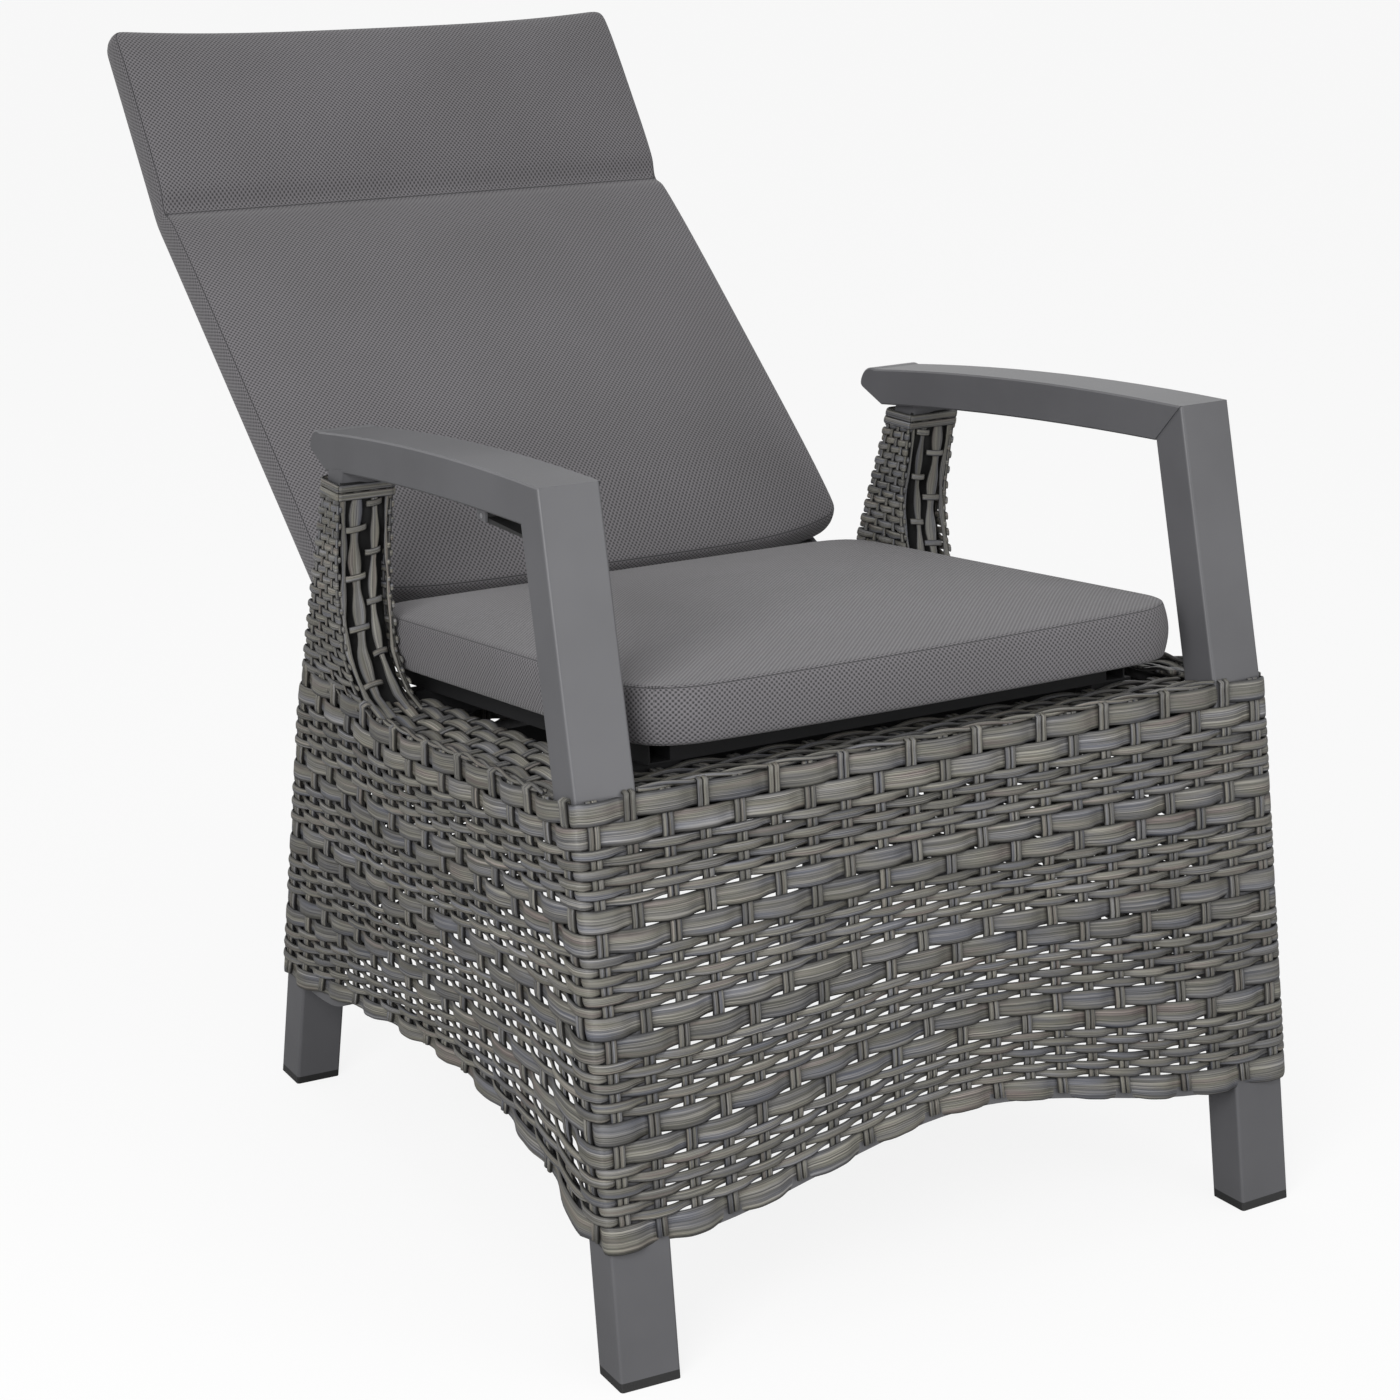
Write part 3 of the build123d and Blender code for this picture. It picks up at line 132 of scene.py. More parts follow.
class Nodes:
    """A short way to write a material's node tree."""

    def __init__(self, name: str) -> None:
        """Start a material with its principled shader.

        Args:
            name: the material's name.
        """
        self.material = bpy.data.materials.new(name)
        self.material.use_nodes = True
        self.tree = self.material.node_tree
        self.shader = self.tree.nodes["Principled BSDF"]

    def add(
        self, kind: str, inputs: dict[str | int, Value] | None = None, **settings: object
    ) -> bpy.types.Node:
        """Add a node.

        Args:
            kind: the node's type name.
            inputs: socket names or numbers, with a value or a socket to link.
            settings: properties of the node itself.

        Returns:
            The new node.
        """
        node = self.tree.nodes.new(kind)
        for key, value in settings.items():
            setattr(node, key, value)
        for key, value in (inputs or {}).items():
            self.feed(node.inputs[key], value)
        return node

    def feed(self, socket: bpy.types.NodeSocket, value: Value) -> None:
        """Link another socket to this one, or set its value.

        Args:
            socket: the input to feed.
            value: an output to link, or a plain value.
        """
        if isinstance(value, bpy.types.NodeSocket):
            self.tree.links.new(value, socket)
        else:
            socket.default_value = value

    def math(
        self, operation: str, first: Value, second: Value = 0.0, third: Value = 0.0
    ) -> bpy.types.NodeSocket:
        """One arithmetic step.

        Args:
            operation: what to do, by the node's own word for it.
            first: the first number.
            second: the second number.
            third: the third number, which few operations read.

        Returns:
            The socket of the result.
        """
        node = self.add("ShaderNodeMath", operation=operation)
        for socket, value in zip(node.inputs, (first, second, third)):
            self.feed(socket, value)
        return node.outputs[0]

    def noise(self, vector: Value, scale: float, detail: float = 2.0) -> bpy.types.NodeSocket:
        """Fractal noise from 0 to 1 at a place."""
        node = self.add("ShaderNodeTexNoise", {"Vector": vector, "Scale": scale, "Detail": detail})
        return node.outputs["Fac"]

    def ramp(self, factor: Value, stops: list[tuple[float, Colour]]) -> bpy.types.NodeSocket:
        """A colour that changes evenly between stops.

        Args:
            factor: the place on the ramp, from 0 to 1.
            stops: places with their colours, in rising order.

        Returns:
            The socket of the colour.
        """
        node = self.add("ShaderNodeValToRGB", {"Fac": factor})
        elements = node.color_ramp.elements
        while len(elements) < len(stops):
            elements.new(0.5)
        for element, (place, colour) in zip(elements, stops):
            element.position = place
            element.color = (*colour, 1.0)
        return node.outputs["Color"]

    def mix(
        self, factor: Value, first: Value, second: Value, blend: str = "MIX"
    ) -> bpy.types.NodeSocket:
        """Two colours mixed by a factor.

        Args:
            factor: share of the second colour.
            first: the colour below.
            second: the colour laid over it.
            blend: how they mix, by the node's own word for it.

        Returns:
            The socket of the mixed colour.
        """
        node = self.add("ShaderNodeMix", data_type="RGBA", blend_type=blend)
        for name, value in (("Factor", factor), ("A", first), ("B", second)):
            sockets = [s for s in node.inputs if s.name == name and s.enabled]
            self.feed(sockets[-1], value)
        return [s for s in node.outputs if s.enabled][0]

    def bump(self, height: Value, strength: float, distance: float) -> None:
        """Give the shader a bump from a height, with its distance in metres."""
        inputs = {"Height": height, "Strength": strength, "Distance": distance}
        self.feed(self.shader.inputs["Normal"], self.add("ShaderNodeBump", inputs).outputs["Normal"])

    def vector(self, x: Value, y: Value, z: Value) -> bpy.types.NodeSocket:
        """Three values joined to one vector."""
        return self.add("ShaderNodeCombineXYZ", {0: x, 1: y, 2: z}).outputs[0]

    def attribute(self, name: str) -> list[bpy.types.NodeSocket]:
        """The three parts of a vector attribute of the mesh."""
        node = self.add("ShaderNodeAttribute", attribute_name=name)
        return list(self.add("ShaderNodeSeparateXYZ", {0: node.outputs["Vector"]}).outputs)

    def place(self) -> bpy.types.NodeSocket:
        """Object coordinates, in metres."""
        return self.add("ShaderNodeTexCoord").outputs["Object"]


@dataclass(frozen=True)
class Powder:
    """Matt powder coat: an even colour with a very fine grain and faint clouding."""

    name: str = "anthracite_powder"
    dark: Colour = (0.092, 0.092, 0.098)
    light: Colour = (0.109, 0.109, 0.116)
    roughness: float = 0.42
    cloud_scale: float = 9.0
    grain_scale: float = 1400.0
    grain_depth: float = 0.0001

    def make(self) -> bpy.types.Material:
        """Build the material.

        Returns:
            The finish, on object coordinates.
        """
        n = Nodes(self.name)
        place = n.place()
        cloud = n.noise(place, self.cloud_scale, 3.0)
        grain = n.noise(place, self.grain_scale, 1.0)
        n.feed(n.shader.inputs["Base Color"], n.ramp(cloud, [(0.35, self.dark), (0.65, self.light)]))
        rough = n.math("MULTIPLY_ADD", grain, 0.12, self.roughness - 0.06)
        n.feed(n.shader.inputs["Roughness"], rough)
        n.bump(grain, 0.12, self.grain_depth)
        return n.material


@dataclass(frozen=True)
class Resin:
    """Woven resin strand: grooves and streaks along it, with olive, blue and brown casts, a painted
    highlight down its middle and painted shade at its edges.

    Each pattern is a noise drawn out along the strand: pace is how many of its cells lie in a
    metre of strand, and across is how many lie over the strand's half width.
    """

    name: str = "streaked_resin"
    low: Colour = (0.036, 0.036, 0.038)
    mid: Colour = (0.128, 0.125, 0.118)
    high: Colour = (0.310, 0.300, 0.280)
    olive: Colour = (0.156, 0.152, 0.110)
    blue: Colour = (0.102, 0.114, 0.158)
    brown: Colour = (0.172, 0.126, 0.112)
    groove_tones: tuple[Colour, ...] = ((0.42, 0.42, 0.43), (0.95, 0.95, 0.95), (1.45, 1.44, 1.40))
    edge_shade_tones: tuple[Colour, ...] = ((1.10, 1.10, 1.10), (0.16, 0.16, 0.17))
    strand_tones: tuple[Colour, ...] = ((0.74, 0.74, 0.75), (1.22, 1.21, 1.20))
    roughness: float = 0.46
    streak_pace: float = 6.0
    streak_across: float = 3.2
    groove_pace: float = 2.5
    groove_across: float = 9.0
    cast_pace: float = 11.0
    cast_across: float = 0.9
    cast_share: float = 0.42
    groove_depth: float = 0.0005
    row_spread: float = 37.0

    def drawn_noise(
        self, n: Nodes, strand: list[bpy.types.NodeSocket], pace: float, across: float, scale: float,
        detail: float,
    ) -> bpy.types.NodeSocket:
        """Noise drawn out along the strand, other on each strand.

        Args:
            n: the material's nodes.
            strand: metres along, share across and tint.
            pace: cells in a metre along.
            across: cells over the half width.
            scale: scale of the noise itself.
            detail: its number of octaves.

        Returns:
            The socket of the noise, from 0 to 1.
        """
        along, off, tint = strand
        row = n.math("MULTIPLY", tint, self.row_spread)
        place = n.vector(n.math("MULTIPLY", along, pace), n.math("MULTIPLY", off, across), row)
        return n.noise(place, scale, detail)

    def make(self) -> bpy.types.Material:
        """Build the material from the strand attribute: metres along, share across and tint.

        Returns:
            The finish, on the strand's own marks.
        """
        n = Nodes(self.name)
        strand = n.attribute("strand")
        _, across, tint = strand
        streak = self.drawn_noise(n, strand, self.streak_pace, self.streak_across, 1.6, 3.0)
        groove = self.drawn_noise(n, strand, self.groove_pace, self.groove_across, 1.5, 2.0)
        cast = self.drawn_noise(n, strand, self.cast_pace, self.cast_across, 1.0, 1.0)
        grey = n.ramp(streak, [(0.30, self.low), (0.50, self.mid), (0.72, self.high)])
        casts = [(0.30, self.blue), (0.46, self.mid), (0.58, self.olive), (0.74, self.brown)]
        colour = n.mix(self.cast_share, grey, n.ramp(cast, casts))
        lines = n.ramp(groove, list(zip((0.34, 0.50, 0.66), self.groove_tones)))
        colour = n.mix(1.0, colour, lines, "MULTIPLY")
        # Painted highlight along the middle of each strand and painted shade towards its edges, where the
        # rows meet.
        edge = n.math("POWER", n.math("ABSOLUTE", across), 3.0)
        rounding = n.ramp(edge, list(zip((0.25, 0.95), self.edge_shade_tones)))
        colour = n.mix(1.0, colour, rounding, "MULTIPLY")
        scatter = n.math("MULTIPLY", n.math("SINE", n.math("MULTIPLY", tint, 91.7)), 43.5)
        own = n.ramp(n.math("FRACT", scatter), list(zip((0.0, 1.0), self.strand_tones)))
        colour = n.mix(1.0, colour, own, "MULTIPLY")
        n.feed(n.shader.inputs["Base Color"], colour)
        rough = n.math("MULTIPLY_ADD", groove, 0.2, self.roughness - 0.1)
        n.feed(n.shader.inputs["Roughness"], rough)
        n.bump(groove, 0.8, self.groove_depth)
        return n.material


@dataclass(frozen=True)
class Cloth:
    """Basket woven outdoor cloth: raised dots in two directions, with painted shade in the pits between them
    and a painted highlight on the dots.
    """

    name: str = "basket_cloth"
    yarn: Colour = (0.128, 0.122, 0.129)
    pit_shade: Colour = (0.030, 0.029, 0.031)
    seam_dark: Colour = (0.012, 0.012, 0.014)
    highlight: float = 1.3
    repeat: float = 4.1
    roughness: float = 0.85
    relief: float = 0.0006

    def basket(self, n: Nodes, u: Value, v: Value) -> bpy.types.NodeSocket:
        """Height of the weave: a sine along each diagonal, summed, with a noise for the fibres.

        Args:
            n: the material's nodes.
            u: millimetres one way.
            v: millimetres the other way.

        Returns:
            The socket of the height, about 0 to 1.
        """
        turn = 2.0 * math.pi / self.repeat
        first = n.math("SINE", n.math("MULTIPLY", n.math("ADD", u, v), turn))
        second = n.math("SINE", n.math("MULTIPLY", n.math("SUBTRACT", u, v), turn))
        weave = n.math("MULTIPLY_ADD", n.math("ADD", first, second), 0.25, 0.5)
        fleck = n.noise(n.vector(u, v, 0.0), 0.9, 2.0)
        return n.math("MULTIPLY_ADD", fleck, 0.35, n.math("SUBTRACT", weave, 0.17))

    def make(self) -> bpy.types.Material:
        """Build the material from the cloth attribute: millimetres both ways, and the seam share.

        Returns:
            The finish, on the cushion's own marks.
        """
        n = Nodes(self.name)
        u, v, seam = n.attribute("cloth")
        height = self.basket(n, u, v)
        light = tuple(self.highlight * c for c in self.yarn)
        # Colour follows the weave's height: painted shade in the pits and a painted highlight on the raised
        # dots.
        body = n.ramp(height, [(0.20, self.pit_shade), (0.50, self.yarn), (0.95, light)])
        cloud = n.noise(n.place(), 7.0, 3.0)
        shade = n.ramp(cloud, [(0.3, (0.93, 0.93, 0.93)), (0.7, (1.04, 1.04, 1.05))])
        body = n.mix(1.0, body, shade, "MULTIPLY")
        line = n.math("MULTIPLY_ADD", seam, 11.0, -9.7)
        line = n.math("MINIMUM", n.math("MAXIMUM", line, 0.0), 1.0)
        colour = n.mix(n.math("MULTIPLY", line, 0.85), body, (*self.seam_dark, 1.0))
        n.feed(n.shader.inputs["Base Color"], colour)
        n.shader.inputs["Roughness"].default_value = self.roughness
        n.shader.inputs["Sheen Weight"].default_value = 0.15
        n.shader.inputs["Sheen Roughness"].default_value = 0.5
        n.bump(height, 0.8, self.relief)
        return n.material


@dataclass(frozen=True)
class Plain:
    """A moulded, plated or lacquered finish with a faint texture of its own."""

    name: str
    colour: Colour
    roughness: float
    metal: float = 0.0
    grain: float = 900.0
    depth: float = 0.0001
    dimming: float = 0.8

    def make(self) -> bpy.types.Material:
        """Build the material.

        Returns:
            The finish, on object coordinates.
        """
        n = Nodes(self.name)
        grain = n.noise(n.place(), self.grain, 2.0)
        dim = tuple(self.dimming * c for c in self.colour)
        n.feed(n.shader.inputs["Base Color"], n.ramp(grain, [(0.35, dim), (0.65, self.colour)]))
        n.shader.inputs["Metallic"].default_value = self.metal
        rough = n.math("MULTIPLY_ADD", grain, 0.15, self.roughness - 0.07)
        n.feed(n.shader.inputs["Roughness"], rough)
        n.bump(grain, 0.25, self.depth)
        return n.material


@dataclass(frozen=True)
class Webbing:
    """Elastic webbing with ribs along it."""

    name: str = "ribbed_webbing"
    colour: Colour = (0.022, 0.022, 0.024)
    gap_shade: Colour = (0.006, 0.006, 0.007)
    roughness: float = 0.8
    ribs: float = 2600.0
    depth: float = 0.0005

    def make(self) -> bpy.types.Material:
        """Build the material: its ribs are a sine of the place along Y.

        Returns:
            The finish, on object coordinates.
        """
        n = Nodes(self.name)
        y = n.add("ShaderNodeSeparateXYZ", {0: n.place()}).outputs["Y"]
        rib = n.math("MULTIPLY_ADD", n.math("SINE", n.math("MULTIPLY", y, self.ribs)), 0.5, 0.5)
        # Darker between the ribs: painted shade in the grooves of the webbing.
        n.feed(n.shader.inputs["Base Color"], n.ramp(rib, [(0.0, self.gap_shade), (1.0, self.colour)]))
        n.shader.inputs["Roughness"].default_value = self.roughness
        n.bump(rib, 0.5, self.depth)
        return n.material


# Strands


@dataclass
class Section:
    """Cross-section of a strand: a flattened round, as points across and out of the weave."""

    points: int = 10
    flatness: float = 0.62
    roundness: float = 0.9

    def outline(self) -> Array:
        """Signed powers of cosine and sine give a flat top with round edges.

        Returns:
            One row of (across, out) for each point.
        """
        angle = (np.arange(self.points) + 0.5) * 2.0 * math.pi / self.points
        across = np.sign(np.cos(angle)) * np.abs(np.cos(angle)) ** self.flatness
        out = np.sign(np.sin(angle)) * np.abs(np.sin(angle)) ** self.roundness
        return np.stack([across / across.max(), out / out.max()], axis=1)


@dataclass
class Skein:
    """Gathers strands and turns them into one mesh."""

    places: list[Array] = field(default_factory=list)
    faces: list[Array] = field(default_factory=list)
    marks: list[Array] = field(default_factory=list)
    count: int = 0

    def lay(
        self, line: Array, across: Array, out: Array, half_width: Array | float,
        half_thick: Array | float, tint: float, section: Section, start: float = 0.0,
    ) -> None:
        """Carry a section along a line: each point is the line plus its share of both directions.

        Args:
            line: the strand's middle, in millimetres.
            across: unit directions of its width.
            out: unit directions out of the weave.
            half_width: half its width along the line.
            half_thick: half its thickness along the line.
            tint: the strand's own number from 0 to 1, for its colour.
            section: the shape carried.
            start: metres added to the distance along, for the colour.
        """
        shape = section.outline()
        rings, sides = len(line), len(shape)
        width = np.broadcast_to(half_width, (rings,))[:, None, None]
        thick = np.broadcast_to(half_thick, (rings,))[:, None, None]
        points = line[:, None, :] + across[:, None, :] * width * shape[None, :, :1]
        points = points + out[:, None, :] * thick * shape[None, :, 1:]
        step = np.linalg.norm(np.diff(line, axis=0), axis=1)
        along = np.concatenate([[0.0], np.cumsum(step)]) * MM + start
        mark = np.empty((rings, sides, 3))
        mark[..., 0] = along[:, None]
        mark[..., 1] = shape[None, :, 0]
        mark[..., 2] = tint
        quads = self.tube_faces(rings, sides)
        turned = np.einsum("ij,ij->i", np.cross(across, out), np.gradient(line, axis=0)).mean() < 0
        if turned:
            quads = quads[:, ::-1]
        self.places.append(points.reshape(-1, 3))
        self.faces.append(quads + self.count)
        self.marks.append(mark.reshape(-1, 3))
        self.count += rings * sides

    def tube_faces(self, rings: int, sides: int) -> Array:
        """Faces of a closed tube: its walls from ring to ring, and a cap of quads at each end.

        Args:
            rings: number of rings along it.
            sides: number of points in a ring.

        Returns:
            Four vertex numbers for each face.
        """
        ring = np.arange(rings - 1)[:, None] * sides
        side = np.arange(sides)[None, :]
        after = (side + 1) % sides
        walls = np.stack([ring + side, ring + after, ring + sides + after, ring + sides + side], axis=-1)
        low = np.arange(sides // 2 - 1)
        cap = np.stack([low, sides - 1 - low, sides - 2 - low, low + 1], axis=-1)
        end = cap[:, ::-1] + (rings - 1) * sides
        return np.concatenate([walls.reshape(-1, 4), cap, end])

    def piece(self, name: str, material: bpy.types.Material) -> bpy.types.Object:
        """The gathered strands as one object.

        Args:
            name: the piece's name.
            material: its finish.

        Returns:
            The object, with its strand attribute.
        """
        places = to_frame(np.concatenate(self.places))
        piece = mesh_piece(name, places, np.concatenate(self.faces), material)
        put_attribute(piece, "strand", np.concatenate(self.marks))
        return piece


def mesh_piece(
    name: str, places: Array, quads: Array, material: bpy.types.Material
) -> bpy.types.Object:
    """A smooth shaded object from places in metres and four-cornered faces.

    Args:
        name: the piece's name.
        places: one row for each vertex.
        quads: vertex numbers of each face.
        material: its finish.

    Returns:
        The object, at the origin.
    """
    mesh = bpy.data.meshes.new(name)
    mesh.vertices.add(len(places))
    mesh.vertices.foreach_set("co", np.ascontiguousarray(places, np.float32).ravel())
    mesh.loops.add(quads.size)
    mesh.loops.foreach_set("vertex_index", np.ascontiguousarray(quads, np.int32).ravel())
    mesh.polygons.add(len(quads))
    mesh.polygons.foreach_set("loop_start", np.arange(0, quads.size, 4, dtype=np.int32))
    mesh.polygons.foreach_set("use_smooth", np.ones(len(quads), bool))
    mesh.update(calc_edges=True)
    mesh.validate()
    mesh.materials.append(material)
    piece = bpy.data.objects.new(name, mesh)
    bpy.context.scene.collection.objects.link(piece)
    return piece


def put_attribute(
    piece: bpy.types.Object, name: str, values: Array, domain: str = "POINT"
) -> None:
    """Store three numbers a vertex, or a face corner, under a name that the material reads."""
    attribute = piece.data.attributes.new(name, "FLOAT_VECTOR", domain)
    attribute.data.foreach_set("vector", np.ascontiguousarray(values, np.float32).ravel())


def keep(piece: bpy.types.Object, body: str, slot: Slot, *nodes: str) -> None:
    """Ride a piece on its body, hide the solids that it stands for, and report it.

    Args:
        piece: the finished piece.
        body: the body that it moves with.
        slot: not used.
        nodes: the solids that it stands for, if any.
    """
    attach(piece, body)
    if nodes:
        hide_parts(*nodes)
    log.info("%s on %s, %d faces", piece.name, body, len(piece.data.polygons))


def weave_frame(
    place: Callable[[Array, Array], Array], u: Array, v: Array, du: float, dv: float
) -> tuple[Array, Array, Array]:
    """Directions on a surface from small differences.

    Args:
        place: the surface as a function of two parameters.
        u: first parameter.
        v: second parameter.
        du: step of the first one.
        dv: step of the second one.

    Returns:
        Unit directions along the first and second parameters, and the second crossed with the first.
    """
    along = unit(place(u + du, v) - place(u - du, v))
    down = unit(place(u, v + dv) - place(u, v - dv))
    out = unit(np.cross(down, along))
    return along, down, out


def eased_corner(corner: Array, way: Array, other_way: Array, gone: Array, reach: float) -> Array:
    """Place on the parabola that rounds a corner of a plan outline.

    With q from a half at the corner to 1 at the reach, it is the square of one less q times the
    start on the other side, twice q times one less q times the corner, and the square of q times
    the end on this side.

    Args:
        corner: the sharp corner, one row for each place.
        way: unit direction from the corner along this side.
        other_way: unit direction from the corner along the other side.
        gone: how far along this side each place lies.
        reach: how far from the corner the rounding starts.

    Returns:
        One row of x and y for each place.
    """
    q = 0.5 + 0.5 * np.clip(gone / reach, 0, 1)
    start, end = corner + other_way * reach, corner + way * reach
    return (
        ((1 - q) ** 2)[:, None] * start + (2 * q * (1 - q))[:, None] * corner
        + (q ** 2)[:, None] * end
    )


# Side frame lines shared by the woven pieces


@dataclass
class Stance:
    """Lines of the legs, as part of the frame's own measurements."""

    half_width: float = 318.0
    taper: float = math.tan(math.radians(2.2))
    front_slope: float = 66.0 / 436.0
    foot_back: float = 675.0
    bend_back: float = 588.5
    bend_height: float = 372.0
    top_back: float = 512.0
    top_height: float = 584.0
    rear_leg_width: float = 40.3
    front_leg_width: float = 49.8

    def half_at(self, back: Array) -> Array:
        """Half the chair's width over its legs, which narrows evenly towards the back."""
        return self.half_width - np.asarray(back) * self.taper

    def front_at(self, height: Array) -> Array:
        """Front face of the front leg below its bend: a straight line."""
        return np.asarray(height) * self.front_slope

    def rear_at(self, height: Array) -> Array:
        """Back edge of the rear leg: two straight lines that meet at the bend.

        Args:
            height: heights above the floor.

        Returns:
            The edge's distance back at each height.
        """
        height = np.asarray(height, float)
        low = self.foot_back - (self.foot_back - self.bend_back) * height / self.bend_height
        rise = (height - self.bend_height) / (self.top_height - self.bend_height)
        high = self.bend_back - (self.bend_back - self.top_back) * rise
        return np.where(height < self.bend_height, low, high)


@dataclass
class RowPlan:
    """Rows of a woven skirt from its rim down: two wide ones, then six narrow ones, over again."""

    wide: float = 17.2
    wide_count: int = 2
    narrow: float = 7.15
    narrow_count: int = 6
    depth: float = 330.0
    trim_share: float = 0.6

    def pattern(self) -> list[float]:
        """Pitches of the rows that are woven over and over."""
        return [self.wide] * self.wide_count + [self.narrow] * self.narrow_count

    def band(self) -> float:
        """Height of one run of the pattern."""
        return self.wide * self.wide_count + self.narrow * self.narrow_count

    def rows(self) -> list[tuple[float, float, bool]]:
        """Middle, width and kind of each row, with the last one a wide trim row.

        Returns:
            (depth of the middle, pitch, is it wide) for each row.
        """
        pattern = self.pattern()
        rows, edge, count = [], 0.0, 0
        while edge + pattern[count % len(pattern)] < self.depth - self.wide * self.trim_share:
            pitch = pattern[count % len(pattern)]
            rows.append((edge + pitch / 2, pitch, pitch == self.wide))
            edge += pitch
            count += 1
        rows.append(((edge + self.depth) / 2, self.depth - edge, True))
        return rows


@dataclass
class SkirtShell:
    """The surface that the skirts are woven on: a tapered box with round corners.

    A place on it is a turn from 0 to 4, which counts the corners from the front right one by way
    of the front, the left side, the rear and the right side, and a depth below the rim.
    """

    stance: Stance = field(default_factory=Stance)
    lift: float = 3.6
    corner: float = 13.0
    depth: float = 330.0
    follow: float = 0.6
    rim_backs: tuple[float, ...] = (60.0, 107.0, 170.0, 240.0, 335.0, 395.0, 425.0, 450.0, 600.0)
    rim_heights: tuple[float, ...] = (435.0, 428.5, 422.5, 418.0, 407.5, 403.5, 405.0, 409.0, 411.0)
    front_rise: float = 40.0
    rear_rise: float = 38.0
    low: float = 105.0
    side_rise: float = 50.0
    side_start: float = 55.0
    side_end: float = 612.0
    arch_shares: tuple[float, ...] = (0.0, 0.08, 0.16, 0.28, 0.40, 0.6, 0.80, 0.9, 1.0)
    arch_rises: tuple[float, ...] = (0.0, 0.46, 0.76, 0.955, 1.0, 0.80, 0.46, 0.20, 0.0)
    first_guess: float = 300.0

    def share_and_side(self, turn: Array) -> tuple[Array, Array]:
        """Which side a turn lies on, from 0 to 3, and how far along it."""
        turn = np.mod(np.asarray(turn, float), 4.0)
        side = np.minimum(turn.astype(int), 3)
        return side, turn - side

    def flat_place(self, side: Array, share: Array, height: Array) -> Array:
        """Plan place at a height: a straight line between two corners, turned round at them.

        Args:
            side: side of the box, from 0 to 3.
            share: how far along that side.
            height: height above the floor.

        Returns:
            One row of x and y for each place.
        """
        height = np.asarray(height, float)
        front = self.stance.front_at(height) - self.lift
        rear = self.stance.rear_at(height) + self.lift
        near = self.stance.half_at(front) + self.lift
        far = self.stance.half_at(rear) + self.lift
        corners = np.stack(
            [np.stack([-near, front], -1), np.stack([near, front], -1),
             np.stack([far, rear], -1), np.stack([-far, rear], -1)], axis=0,
        )
        pick = np.arange(len(height))
        start, end = corners[side, pick], corners[(side + 1) % 4, pick]
        before, beyond = corners[(side - 1) % 4, pick], corners[(side + 2) % 4, pick]
        length = np.linalg.norm(end - start, axis=1)
        way = unit(end - start)
        result = start + way * (share * length)[:, None]
        for corner, here, other, gone in (
            (start, way, before, share * length), (end, -way, beyond, (1.0 - share) * length),
        ):
            bend = eased_corner(corner, here, unit(other - corner), gone, self.corner)
            result = np.where((gone < self.corner)[:, None], bend, result)
        return result

    def rim(self, side: Array, place: Array) -> Array:
        """Rim height: level at the front, dipped along the sides."""
        wave = np.interp(place[:, 1], self.rim_backs, self.rim_heights)
        return np.where(side == 0, self.rim_heights[0], wave)

    def hem(self, side: Array, place: Array) -> Array:
        """Hem height: a bell arch at the front and rear, and a long arch along each side.

        Args:
            side: side of the box, from 0 to 3.
            place: rows of x and y.

        Returns:
            The hem's height at each place.
        """
        inner = self.stance.half_at(place[:, 1])
        post = np.where(side == 0, self.stance.front_leg_width, self.stance.rear_leg_width)
        off = np.clip(np.abs(place[:, 0]) / (inner - post), 0.0, 1.0)
        rise = np.where(side == 0, self.front_rise, self.rear_rise)
        bell = self.low + rise * (1.0 - smooth(off))
        share = (place[:, 1] - self.side_start) / (self.side_end - self.side_start)
        arch = self.low + self.side_rise * np.interp(share, self.arch_shares, self.arch_rises)
        return np.where(side % 2 == 0, bell, arch)

    def height(self, side: Array, share: Array, depth: Array) -> Array:
        """Height of a row: its depth, drawn up by the hem the more the lower it lies.

        Args:
            side: side of the box, from 0 to 3.
            share: how far along that side.
            depth: depth below the rim.

        Returns:
            The height of each place, in two rounds, because the rim and hem depend on it.
        """
        depth = np.asarray(depth, float)
        guess = np.full(len(depth), self.first_guess)
        for _ in range(2):
            place = self.flat_place(side, share, guess)
            tall = self.rim(side, place) - self.hem(side, place)
            pull = (1.0 - tall / self.depth) * np.clip(depth / self.depth, 0, 1.2) ** self.follow
            guess = self.rim(side, place) - depth * (1.0 - pull)
        return guess

    def place(self, turn: Array, depth: Array) -> Array:
        """Place on the surface.

        Args:
            turn: turns round the chair.
            depth: depths below the rim.

        Returns:
            Rows of x, y and z in millimetres.
        """
        turn, depth = np.broadcast_arrays(np.asarray(turn, float), np.asarray(depth, float))
        side, share = self.share_and_side(turn)
        height = self.height(side, share, depth)
        return np.column_stack([self.flat_place(side, share, height), height])


